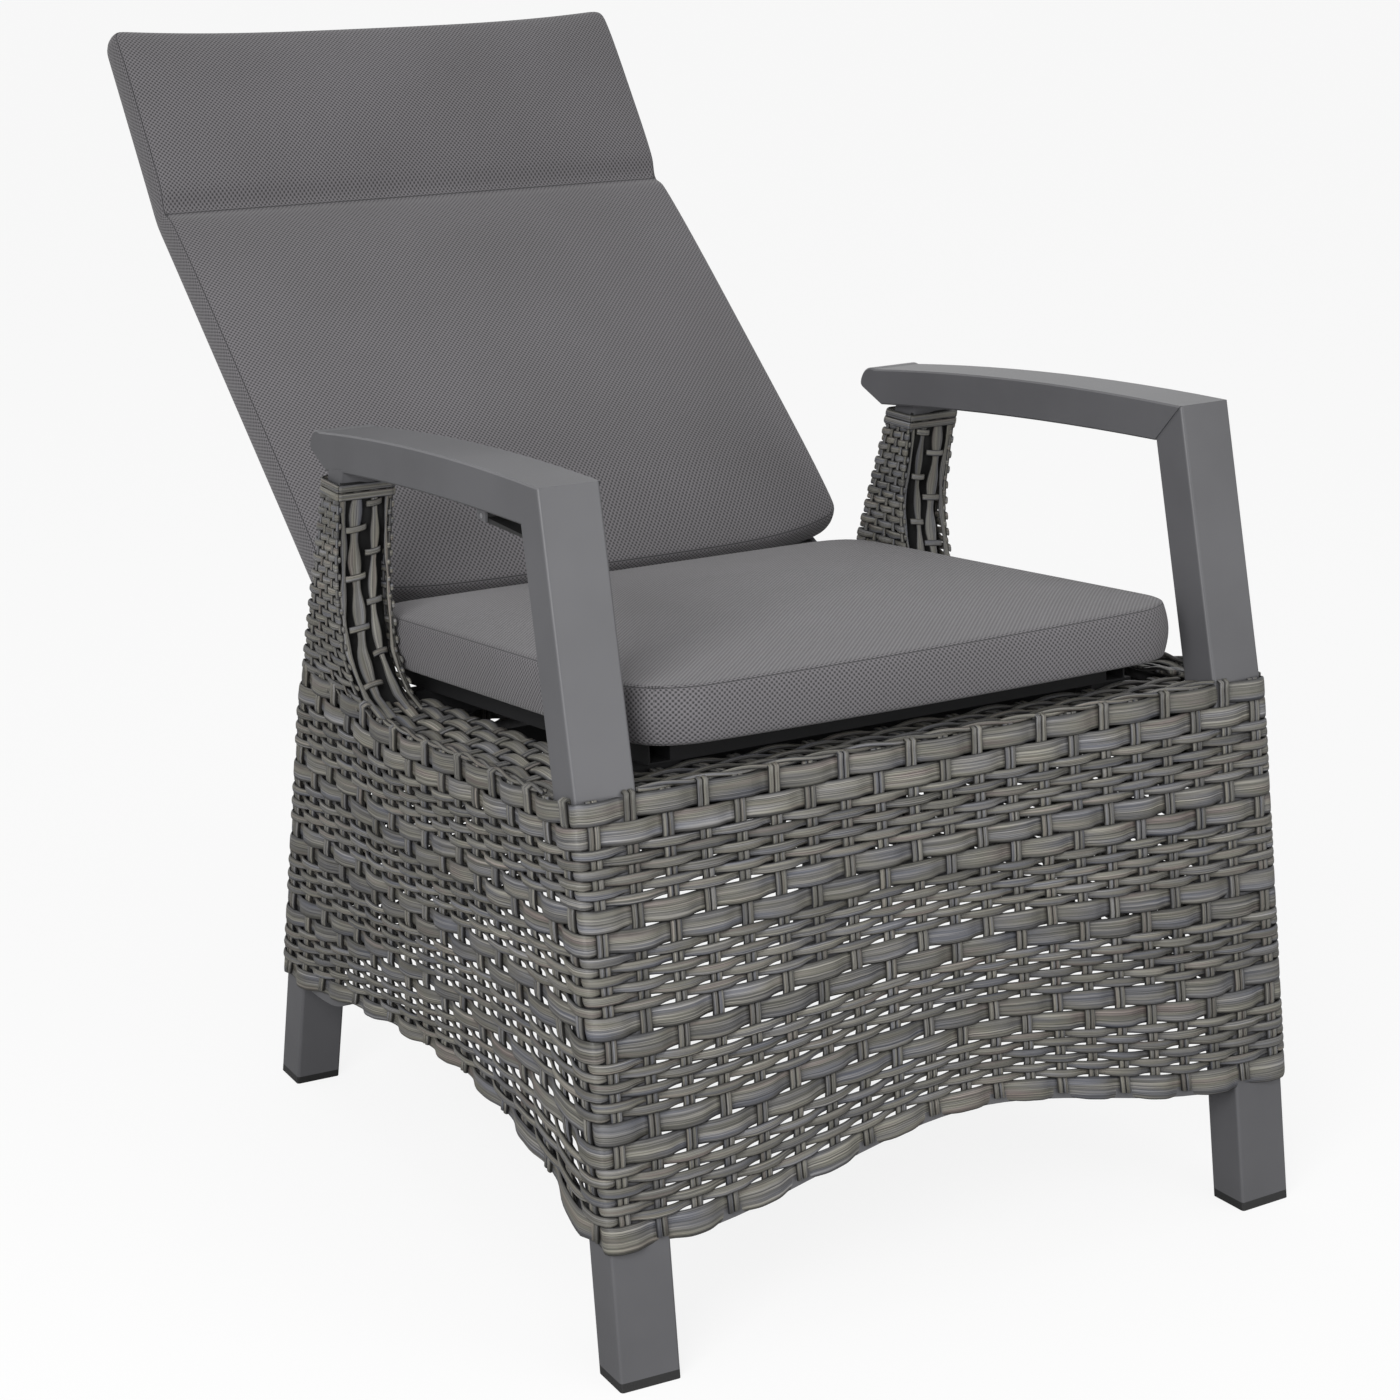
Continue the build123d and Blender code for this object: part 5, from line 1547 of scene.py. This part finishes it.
@dataclass
class BackPanel:
    """Woven panel of the back: rows that cross the frame and turn round its stiles."""

    line: BackLine = field(default_factory=BackLine)
    plan: RowPlan = field(default_factory=RowPlan)
    half_width: float = 236.0
    tube: float = 25.0
    front: float = 36.0
    lift: float = 2.4
    lip: float = 8.0
    low: float = 56.0
    high: float = 174.0
    corner: float = 6.0
    stakes_across: int = 15
    stile_stakes: tuple[float, float, float] = (-14.0, 12.5, 14.0)
    edge_gap: float = 6.0
    steps: int = 6
    overhang: float = 20.0
    row_thick: float = 0.8
    swing: float = 1.2
    stake_offset: float = 2.6
    stake_half: float = 2.3
    stake_thick: float = 1.0

    def section_line(self) -> tuple[Array, Array]:
        """Round trip of a row from one stile's inside to the other's.

        Returns:
            The outline's points as (x, depth), and their lengths along it.
        """
        outer, inner = self.half_width + self.lift, self.half_width - self.tube - self.lift
        front, rear = self.front - self.lift, self.front + self.tube + self.lift
        left = [(-inner, front + self.lip), (-inner, rear), (-outer, rear), (-outer, front)]
        right = [(-x, d) for x, d in reversed(left)]
        points = np.array(left + right)
        length = np.concatenate([[0.0], np.cumsum(np.linalg.norm(np.diff(points, axis=0), axis=1))])
        return points, length

    def place(self, turn: Array, along: Array) -> Array:
        """Place on the panel: the outline, averaged over a short stretch to ease its corners.

        Args:
            turn: lengths round the section.
            along: distances up the back.

        Returns:
            Rows of x, y and z in millimetres.
        """
        turn, along = np.broadcast_arrays(np.asarray(turn, float), np.asarray(along, float))
        points, length = self.section_line()
        total = np.zeros(turn.shape + (2,))
        shifts = np.linspace(-self.corner, self.corner, 5)
        for shift in shifts:
            at = np.clip(turn + shift, 0.0, length[-1])
            total[..., 0] += np.interp(at, length, points[:, 0])
            total[..., 1] += np.interp(at, length, points[:, 1])
        total /= len(shifts)
        side = self.line.place(along, total[..., 1])
        return np.stack([total[..., 0], side[..., 0], side[..., 1]], axis=-1)

    def stakes(self) -> Array:
        """Places of the stakes round the section: three at each stile, the rest even between."""
        _, length = self.section_line()
        before, inner, outer = self.stile_stakes
        return np.concatenate([
            [length[1] + before, length[1] + inner, length[2] + outer],
            np.linspace(length[3] + self.edge_gap, length[4] - self.edge_gap, self.stakes_across),
            [length[5] + before, length[5] + inner, length[6] + outer],
        ])

    def weave(self, material: bpy.types.Material) -> None:
        """Make the rows and the stakes as one piece.

        Args:
            material: the resin.
        """
        rng = np.random.default_rng(SEED + 4)
        skein = Skein()
        stakes = self.stakes()
        _, length = self.section_line()
        end_high = self.line.main_length + self.high
        pattern = self.plan.pattern()
        edge, number = self.low, 0
        while edge + pattern[number % len(pattern)] < end_high:
            pitch = pattern[number % len(pattern)]
            self.lay_row(skein, edge + pitch / 2, pitch, number, stakes, length[-1], rng)
            edge += pitch
            number += 1
        for stake in stakes:
            along = np.linspace(self.low - 2.0, end_high - 2.0, 90)
            turn = np.full(len(along), stake)
            way, _, out = weave_frame(self.place, turn, along, 1.0, 1.0)
            for offset in (-self.stake_offset, self.stake_offset):
                line = self.place(turn, along) + way * offset
                section = Section(6, 0.8, 0.9)
                skein.lay(line, way, out, self.stake_half, self.stake_thick, rng.random(), section)
        keep(skein.piece("woven_back_panel", material), "back", Slot.WEAVE, "back_weave")

    def lay_row(
        self, skein: Skein, along: float, pitch: float, number: int, stakes: Array, total: float,
        rng: np.random.Generator,
    ) -> None:
        """One row, in and out of the stakes and round both stiles.

        Args:
            skein: what gathers the strands.
            along: the row's distance up the back.
            pitch: room that the row has.
            number: the row's number from below.
            stakes: places of the stakes round the section.
            total: length of the section.
            rng: source of its colour.
        """
        last = len(stakes) - 1
        index = np.linspace(-0.4, last + 0.4, len(stakes) * self.steps)
        turn = np.interp(index, np.arange(len(stakes)), stakes)
        turn = np.clip(turn + np.where(index < 0, index * self.overhang, 0.0), 0.5, total - 0.5)
        turn = np.where(index > last, turn + (index - last) * self.overhang, turn)
        level = np.full(len(turn), along)
        wave = np.cos(np.pi * (index + number))
        _, up, out = weave_frame(self.place, turn, level, 1.0, 1.0)
        out = -out
        line = self.place(turn, level) + out * (self.swing * sharp_wave(wave))[:, None]
        section = Section(12, 0.45, 0.8) if pitch == self.plan.wide else Section(8, 0.7, 0.9)
        half = 0.5 * pitch * (0.92 + 0.06 * wave)
        skein.lay(line, up, out, half, self.row_thick, rng.random(), section, start=rng.random() * 9.0)


@dataclass
class Pad:
    """A boxed cushion built from two panels and a boxing strip, then blown up as cloth.

    A panel is a square grid, drawn to a rounded rectangle by the elliptical map of a square
    corner to a quarter disc. The boxing joins both panels' edges, ring by ring.

    The vertices are those of the top panel, those of the bottom panel and then the rings.
    """

    half_x: float
    half_y: float
    corner: float
    step: float = 8.0
    boxing_rings: int = 5
    boxing_height: float = 45.0
    boxing_bulge: float = 3.5
    pressure: float = 3.0
    cap: float = 6.0
    stiffness: float = 22.0
    bending: float = 2.0
    mass: float = 0.3
    frames: int = 20

    def panel(self) -> tuple[Array, int, int]:
        """Grid places of a flat panel, row by row, with its counts.

        Returns:
            Places as (x, y), and the number of columns and rows.
        """
        columns = int(2 * self.half_x / self.step) + 1
        rows = int(2 * self.half_y / self.step) + 1
        x, y = np.meshgrid(
            np.linspace(-self.half_x, self.half_x, columns), np.linspace(-self.half_y, self.half_y, rows)
        )
        over_x = np.maximum(np.abs(x) - (self.half_x - self.corner), 0.0) / self.corner
        over_y = np.maximum(np.abs(y) - (self.half_y - self.corner), 0.0) / self.corner
        round_x = over_x * np.sqrt(1.0 - over_y ** 2 / 2.0) * self.corner
        round_y = over_y * np.sqrt(1.0 - over_x ** 2 / 2.0) * self.corner
        flat_x = np.minimum(np.abs(x), self.half_x - self.corner)
        flat_y = np.minimum(np.abs(y), self.half_y - self.corner)
        places = np.stack([np.sign(x) * (flat_x + round_x), np.sign(y) * (flat_y + round_y)], -1)
        return places.reshape(-1, 2), columns, rows

    def edge(self, columns: int, rows: int) -> Array:
        """Numbers of a panel's edge vertices in order, once round."""
        grid = np.arange(columns * rows).reshape(rows, columns)
        return np.concatenate([grid[0, :-1], grid[:-1, -1], grid[-1, :0:-1], grid[:0:-1, 0]])

    def cells(self, columns: int, rows: int) -> Array:
        """Faces of a panel: one quad for each cell of its grid."""
        grid = np.arange(columns * rows).reshape(rows, columns)
        quads = np.stack([grid[:-1, :-1], grid[:-1, 1:], grid[1:, 1:], grid[1:, :-1]], -1)
        return quads.reshape(-1, 4)

    def boxing(self, grid: Array, edge: Array, shares: Array) -> tuple[list[Array], list[Array]]:
        """Faces and cloth marks of the boxing, from the top edge down.

        Args:
            grid: places of a flat panel.
            edge: numbers of its edge vertices.
            shares: how far down each ring lies, from 0 at the top to 1 at the bottom.

        Returns:
            Vertex numbers, and (millimetres round, millimetres down, seam share) of each corner.
        """
        total, count = len(grid), len(edge)
        loop = np.vstack([grid[edge], grid[edge[:1]]])
        around = np.concatenate([[0.0], np.cumsum(np.linalg.norm(np.diff(loop, axis=0), axis=1))])
        levels = np.concatenate([[0.0], shares, [1.0]])
        rings = [2 * total + ring * count + np.arange(count) for ring in range(len(shares))]
        chain = [edge, *rings, edge + total]
        faces, marks = [], []
        for k, (upper, lower) in enumerate(zip(chain[:-1], chain[1:])):
            faces.append(np.stack([lower, np.roll(lower, -1), np.roll(upper, -1), upper], -1))
            corners = []
            for run, level in ((around[:-1], k + 1), (around[1:], k + 1), (around[1:], k), (around[:-1], k)):
                down = np.full(count, levels[level] * self.boxing_height)
                sewn = np.full(count, float(level in (0, len(levels) - 1)))
                corners.append(np.column_stack([run, down, sewn]))
            marks.append(np.stack(corners, axis=1))
        return faces, marks

    def build(
        self, name: str, solid: Callable[[Array, Array, Array, Array], Array],
        material: bpy.types.Material, seams: Callable[[Array, Array], Array] | None = None,
    ) -> bpy.types.Object:
        """Make the closed mesh.

        Args:
            name: the piece's name.
            solid: maps (x, y, share of thickness from 0 below to 1 on top, spread) to millimetres.
            material: the cloth.
            seams: tells how much a panel place lies on a sewn channel, from (x, y).

        Returns:
            The object with its cloth attribute and a group named held for its seams.
        """
        grid, columns, rows = self.panel()
        edge = self.edge(columns, rows)
        x, y, total = grid[:, 0], grid[:, 1], len(grid)
        shares = np.linspace(0.0, 1.0, self.boxing_rings + 2)[1:-1]
        places = [solid(x, y, np.full(total, level), np.zeros(total)) for level in (1.0, 0.0)]
        for share in shares:
            spread = np.full(len(edge), self.boxing_bulge * math.sin(math.pi * share))
            places.append(solid(x[edge], y[edge], np.full(len(edge), 1.0 - share), spread))
        channel = seams(x, y) if seams else np.zeros(total)
        rim = np.zeros(total)
        rim[edge] = 1.0
        cells = self.cells(columns, rows)
        below = cells[:, ::-1]
        faces, marks = self.boxing(grid, edge, shares)
        faces = [cells, below + total, *faces]
        top_marks = np.column_stack([grid, np.maximum(channel, rim)])[cells]
        marks = [top_marks, np.column_stack([grid, rim])[below], *marks]
        piece = mesh_piece(name, to_frame(np.concatenate(places)), np.concatenate(faces), material)
        put_attribute(piece, "cloth", np.concatenate(marks).reshape(-1, 3), "CORNER")
        held = np.concatenate([edge, total + np.arange(total), np.nonzero(channel > 0.5)[0]])
        group = piece.vertex_groups.new(name="held")
        group.add([int(number) for number in held], 1.0, "REPLACE")
        return piece

    def blow(self, piece: bpy.types.Object) -> None:
        """Blow the pad up, then smooth it by one subdivision.

        Args:
            piece: the cushion.
        """
        self.swell(piece)
        finish = piece.modifiers.new("smooth", "SUBSURF")
        finish.levels = 1
        finish.render_levels = 1

    def swell(self, piece: bpy.types.Object) -> None:
        """Blow the pad up as cloth held at its seams, and keep each point's move below the cap.

        Args:
            piece: the cushion.
        """
        mesh = piece.data
        before = np.empty(len(mesh.vertices) * 3, np.float32)
        mesh.vertices.foreach_get("co", before)
        cloth = piece.modifiers.new("air", "CLOTH")
        cloth.settings.quality = 6
        cloth.settings.mass = self.mass
        cloth.settings.tension_stiffness = self.stiffness
        cloth.settings.compression_stiffness = self.stiffness
        cloth.settings.bending_stiffness = self.bending
        cloth.settings.use_pressure = True
        cloth.settings.uniform_pressure_force = self.pressure
        cloth.settings.vertex_group_mass = "held"
        cloth.settings.effector_weights.gravity = 0.0
        cloth.point_cache.frame_start = 1
        cloth.point_cache.frame_end = self.frames
        scene = bpy.context.scene
        for number in range(1, self.frames + 1):
            scene.frame_set(number)
        evaluated = piece.evaluated_get(bpy.context.evaluated_depsgraph_get())
        after = np.empty(len(mesh.vertices) * 3, np.float32)
        evaluated.data.vertices.foreach_get("co", after)
        piece.modifiers.remove(cloth)
        scene.frame_set(1)
        move = (after - before).reshape(-1, 3)
        length = np.linalg.norm(move, axis=1, keepdims=True)
        limit = self.cap * MM
        move = move * np.minimum(1.0, limit / np.maximum(length, 1e-9))
        swollen = float(np.minimum(length, limit).max() / MM)
        log.info("%s swelled by up to %.1f mm", piece.name, swollen)
        mesh.vertices.foreach_set("co", (before.reshape(-1, 3) + move).ravel())
        mesh.update()


@dataclass
class SeatPad:
    """The seat cushion: boxed, crowned, bowed at the front and tilted down to the rear."""

    front: float = 75.0
    bottom: float = 459.0
    tilt: float = 5.5
    length: float = 486.0
    half_width: float = 249.0
    side_height: float = 44.0
    crown: float = 8.0
    crown_power: float = 3.2
    crown_ease: float = 0.8
    bow: float = 9.0
    corner: float = 52.0
    pressure: float = 2.2
    cap: float = 5.0

    def place(self, x: Array, y: Array, share: Array, spread: Array) -> Array:
        """Height is the share of the boxing, plus on top a crown that falls off as a power.

        Args:
            x: places across a flat panel.
            y: places along it, from the front.
            share: share of the thickness, 0 below and 1 on top.
            spread: how far the boxing bulges outwards.

        Returns:
            Rows of x, y and z in millimetres.
        """
        half = self.length / 2
        grow = 1.0 + spread / self.half_width
        px, py = x * grow, y * grow
        off_x = np.clip(1.0 - np.abs(x / self.half_width) ** self.crown_power, 0, 1)
        off_y = np.clip(1.0 - np.abs(y / half) ** self.crown_power, 0, 1)
        lift = np.where(share > 0.999, self.crown * (off_x * off_y) ** self.crown_ease, 0.0)
        ahead = np.clip(0.5 - py / self.length, 0, 1)
        bow = self.bow * (1.0 - (px / self.half_width) ** 2) * ahead
        along = py + half - bow
        up = self.side_height * share + lift
        turn = math.radians(self.tilt)
        back = self.front + along * math.cos(turn) + up * math.sin(turn)
        height = self.bottom - along * math.sin(turn) + up * math.cos(turn)
        return np.column_stack([px, back, height])

    def make(self, material: bpy.types.Material) -> None:
        """Args:
            material: the cloth.
        """
        pad = Pad(self.half_width, self.length / 2, self.corner, pressure=self.pressure, cap=self.cap)
        piece = pad.build("seat_pad", self.place, material)
        pad.blow(piece)
        keep(piece, "base", Slot.CLOTH, "seat_cushion")


@dataclass
class BackPad:
    """The back cushion: one boxed pad with a sewn channel below its head roll."""

    line: BackLine = field(default_factory=BackLine)
    half_width: float = 262.0
    extend: float = 22.0
    extend_length: float = 90.0
    sag: float = 9.0
    sag_length: float = 110.0
    rear: float = 31.6
    front: float = 4.0
    crown: float = 10.0
    edge_crown: float = 0.5
    channel: float = 10.0
    channel_width: float = 7.0
    corner: float = 11.0
    pressure: float = 2.2
    cap: float = 6.0

    def place(self, x: Array, y: Array, share: Array, spread: Array) -> Array:
        """Front depth is a crown over each lobe, with a groove that falls off as a bell curve.

        Args:
            x: places across a flat panel.
            y: places along it, from below.
            share: share of the thickness, 0 behind and 1 in front.
            spread: how far the boxing bulges outwards.

        Returns:
            Rows of x, y and z in millimetres.
        """
        total, seam = self.line.length, self.line.main_length
        along = y + total / 2
        off = np.clip(np.abs(x / self.half_width), 0, 1)
        tongue = self.extend * (1.0 - off ** 5) * (1.0 - smooth(along / self.extend_length))
        head = smooth((along - total + self.sag_length) / self.sag_length)
        dip = self.sag * (1.0 - off ** 3) * head
        lobe = np.where(along < seam, along / seam, (along - seam) / self.line.head_length)
        puff = np.clip(1.0 - np.abs(2.0 * lobe - 1.0) ** 4, 0, 1) ** 0.7
        inside = np.clip(1.0 - np.abs(x / self.half_width) ** 7, 0, 1) ** 0.7
        side = self.edge_crown + (1.0 - self.edge_crown) * inside
        groove = np.exp(-((along - seam) / self.channel_width) ** 2) * np.clip(side * 1.6, 0.35, 1)
        front = self.front - (self.crown + 2.0) * puff * side + self.channel * groove
        depth = front * share + self.rear * (1.0 - share)
        outward = spread * np.sign(y) * (np.abs(y) > total / 2 - self.corner)
        flat = self.line.place(along + outward - tongue - dip, depth)
        return np.column_stack([x * (1.0 + spread / self.half_width), flat])

    def seam_share(self, x: Array, y: Array) -> Array:
        """1 on the row of the grid at the channel, and 0 elsewhere."""
        off = np.abs(y + self.line.length / 2 - self.line.main_length)
        return (off <= off.min() + 0.1).astype(float)

    def make(self, material: bpy.types.Material) -> None:
        """Args:
            material: the cloth.
        """
        pad = Pad(
            self.half_width, self.line.length / 2, self.corner, boxing_rings=4, boxing_height=self.rear,
            boxing_bulge=2.0, pressure=self.pressure, cap=self.cap,
        )
        piece = pad.build("back_pad", self.place, material, self.seam_share)
        pad.blow(piece)
        keep(piece, "back", Slot.CLOTH, "back_cushion")


# Metalwork


@dataclass
class Metalwork:
    """The tubes and small parts, which keep their own solids but for the sleeved post tops."""

    stance: Stance = field(default_factory=Stance)
    # Rails under the seat, given a near-black finish as painted shade instead of their own powder coat.
    shaded: tuple[str, ...] = (
        "seat_side_bars", "seat_end_bars", "seat_spacers", "seat_front_bar", "seat_rear_bar",
        "spring_crossbar", "front_rail", "rear_rail", "left_side_rail", "right_side_rail",
    )
    solid_top_back: float = 496.5
    solid_depth: float = 38.4
    rear_shift: float = 15.5
    front_shift: float = 25.0
    merge: float = 0.00002
    sharp: float = math.radians(28.0)

    def dress(self, finishes: dict[Slot, bpy.types.Material], painted_shade_finish: bpy.types.Material) -> None:
        """Give each solid the finish of its slot, and the rails below the seat a near-black one, painted
        shade for the shadow under the cushion.

        Args:
            finishes: the finish of each slot.
            painted_shade_finish: the near-black finish of painted shade on the rails under the seat.
        """
        slots = {row["node"]: row["material_slot"] for row in frame["record"]["subparts"]}
        for node, piece in frame["nodes"].items():
            material = painted_shade_finish if node in self.shaded else finishes[Slot(slots[node])]
            piece.data.materials.clear()
            piece.data.materials.append(material)

    def lean_posts(self, material: bpy.types.Material) -> None:
        """Copies of the rear legs whose sleeved top leans less, as the photograph shows it.

        Above the bend each point moves back in step with its height, a little more at the front
        of the tube than at its back.

        Args:
            material: the powder coat.
        """
        bend, top = self.stance.bend_height, self.stance.top_height
        for side in Side:
            node = f"{side.word}_rear_leg"
            mesh = frame["nodes"][node].data.copy()
            mesh.name = f"{node}_tube"
            piece = bpy.data.objects.new(f"{node}_tube", mesh)
            bpy.context.scene.collection.objects.link(piece)
            self.clean(mesh)
            places = np.empty(len(mesh.vertices) * 3, np.float32)
            mesh.vertices.foreach_get("co", places)
            places = places.reshape(-1, 3)
            back = places[:, 1] / MM - front_of_feet / MM
            rise = (places[:, 2] / MM - bend) / (top - bend)
            rear = self.stance.bend_back + (self.solid_top_back - self.stance.bend_back) * rise
            forward = np.clip((rear - back) / self.solid_depth, 0.0, 1.0)
            shift = self.rear_shift + (self.front_shift - self.rear_shift) * forward
            places[:, 1] += np.clip(rise, 0.0, None) * shift * MM
            mesh.vertices.foreach_set("co", places.ravel())
            mesh.materials.clear()
            mesh.materials.append(material)
            mesh.update()
            keep(piece, "base", Slot.METAL, node)

    def clean(self, mesh: bpy.types.Mesh) -> None:
        """Join the solid's loose triangles, with its hard edges marked sharp.

        Args:
            mesh: a copy of a solid's mesh.
        """
        work = bmesh.new()
        work.from_mesh(mesh)
        bmesh.ops.remove_doubles(work, verts=work.verts, dist=self.merge)
        bmesh.ops.recalc_face_normals(work, faces=work.faces)
        for edge in work.edges:
            edge.smooth = len(edge.link_faces) != 2 or edge.calc_face_angle() < self.sharp
        work.to_mesh(mesh)
        work.free()
        mesh.polygons.foreach_set("use_smooth", np.ones(len(mesh.polygons), bool))


# Studio


@dataclass(frozen=True)
class Lamp:
    """A rectangular soft lamp that looks at the chair, with its place and size in metres."""

    name: str
    place: tuple[float, float, float]
    size: float
    power: float
    aim: tuple[float, float, float] = (0.0, 0.0, 0.4)

    def hang(self) -> None:
        """Put the lamp in the scene, turned to the chair."""
        data = bpy.data.lights.new(self.name, "AREA")
        data.shape = "RECTANGLE"
        data.size = data.size_y = self.size
        data.energy = self.power
        lamp = bpy.data.objects.new(self.name, data)
        bpy.context.scene.collection.objects.link(lamp)
        lamp.location = self.place
        x, y, z = np.array(self.aim) - np.array(self.place)
        lamp.rotation_euler = (math.atan2(math.hypot(x, y), -z), 0.0, math.atan2(y, x) - math.pi / 2)


@dataclass
class Studio:
    """Pale floor, soft lamps and the camera at the photograph's angle."""

    camera_place: tuple[float, float, float] = (-1305.9, -1760.6, 1131.3)
    pitch: float = 16.63
    yaw: float = 30.92
    lens: float = 79.56
    sensor: float = 36.0
    far: float = 60.0
    floor_half: float = 30.0
    floor_lit: float = 0.32
    floor_seen: float = 0.88
    floor_glow: float = 0.86
    world_lit: float = 0.55
    lamps: tuple[Lamp, ...] = (
        Lamp("key", (-2.3, -2.1, 1.7), 1.6, 76.0),
        Lamp("fill", (1.2, -3.0, 1.3), 1.8, 20.0),
        Lamp("top", (0.0, 0.3, 3.0), 2.2, 6.0),
    )

    def build(self) -> None:
        """Set up everything that isn't the chair: camera, floor, world and lamps."""
        self.camera()
        self.floor()
        self.world()
        for lamp in self.lamps:
            lamp.hang()
        bpy.context.scene.view_settings.view_transform = "Standard"

    def camera(self) -> None:
        """The camera, as solved from the photograph's straight edges."""
        data = bpy.data.cameras.new("camera")
        data.lens = self.lens
        data.sensor_width = self.sensor
        data.sensor_fit = "HORIZONTAL"
        data.clip_end = self.far
        camera = bpy.data.objects.new("camera", data)
        bpy.context.scene.collection.objects.link(camera)
        camera.location = to_frame(np.array(self.camera_place))
        camera.rotation_euler = (math.radians(90.0 - self.pitch), 0.0, math.radians(-self.yaw))
        bpy.context.scene.camera = camera

    def floor(self) -> None:
        """A wide floor that is white to the camera but keeps a soft shadow."""
        n = Nodes("pale_floor")
        n.shader.inputs["Roughness"].default_value = 0.9
        glow = n.add("ShaderNodeEmission", {"Color": (1.0, 1.0, 1.0, 1.0), "Strength": 1.0})
        seen = n.add("ShaderNodeLightPath").outputs["Is Camera Ray"]
        greys = [(level, level, level, 1.0) for level in (self.floor_lit, self.floor_seen)]
        n.feed(n.shader.inputs["Base Color"], n.mix(seen, *greys))
        share = n.math("MULTIPLY", seen, self.floor_glow)
        mix = n.add("ShaderNodeMixShader", {0: share, 1: n.shader.outputs[0], 2: glow.outputs[0]})
        output = n.tree.nodes["Material Output"]
        n.tree.links.new(mix.outputs[0], output.inputs["Surface"])
        corners = self.floor_half * np.array([[-1, -1, 0], [1, -1, 0], [1, 1, 0], [-1, 1, 0]], float)
        floor = mesh_piece("floor", corners, np.array([[0, 1, 2, 3]]), n.material)

    def world(self) -> None:
        """A white world to the camera and in reflections, and a plain level for light."""
        world = bpy.data.worlds.new("studio")
        bpy.context.scene.world = world
        world.use_nodes = True
        tree = world.node_tree
        background = tree.nodes["Background"]
        light = tree.nodes.new("ShaderNodeLightPath")
        seen = tree.nodes.new("ShaderNodeMath")
        seen.operation = "MAXIMUM"
        tree.links.new(light.outputs["Is Camera Ray"], seen.inputs[0])
        tree.links.new(light.outputs["Is Glossy Ray"], seen.inputs[1])
        level = tree.nodes.new("ShaderNodeMath")
        level.operation = "MULTIPLY_ADD"
        level.inputs[1].default_value = 1.0 - self.world_lit
        level.inputs[2].default_value = self.world_lit
        tree.links.new(seen.outputs[0], level.inputs[0])
        tree.links.new(level.outputs[0], background.inputs["Strength"])
        background.inputs["Color"].default_value = (1.0, 1.0, 1.0, 1.0)


def main() -> None:
    """Build the chair's looks in order, from the metal out to the cushions."""
    powder, resin, cloth = Powder().make(), Resin().make(), Cloth().make()
    # Near-black powder on the rails under the seat: painted shade for the shadow beneath the cushion.
    shaded = Powder("painted_shade_powder", (0.004, 0.004, 0.005), (0.006, 0.006, 0.007), 0.8).make()
    # Near-black sheet behind the sleeve lacing: painted shade for the shadow inside the sleeve.
    shade_sheet = Plain("painted_shade_sheet", (0.006, 0.006, 0.006), 0.9).make()
    finishes = {
        Slot.METAL: powder,
        Slot.WEAVE: resin,
        Slot.CLOTH: cloth,
        Slot.WEBBING: Webbing().make(),
        Slot.PLASTIC: Plain("black_moulding", (0.018, 0.018, 0.018), 0.5).make(),
        Slot.STEEL: Plain("plated_steel", (0.62, 0.62, 0.64), 0.32, 1.0).make(),
        Slot.SPRING: Plain("black_lacquer", (0.02, 0.02, 0.022), 0.3).make(),
        Slot.CHROME: Plain("polished_rod", (0.8, 0.8, 0.81), 0.12, 1.0).make(),
    }
    metalwork = Metalwork()
    metalwork.dress(finishes, shaded)
    metalwork.lean_posts(powder)
    Skirts().weave(resin)
    SeatRim().weave(resin)
    for side in Side:
        PostSleeve(side).weave(resin, shade_sheet)
    BackPanel().weave(resin)
    SeatPad().make(cloth)
    BackPad().make(cloth)
    Studio().build()


if __name__ == "__main__":
    main()
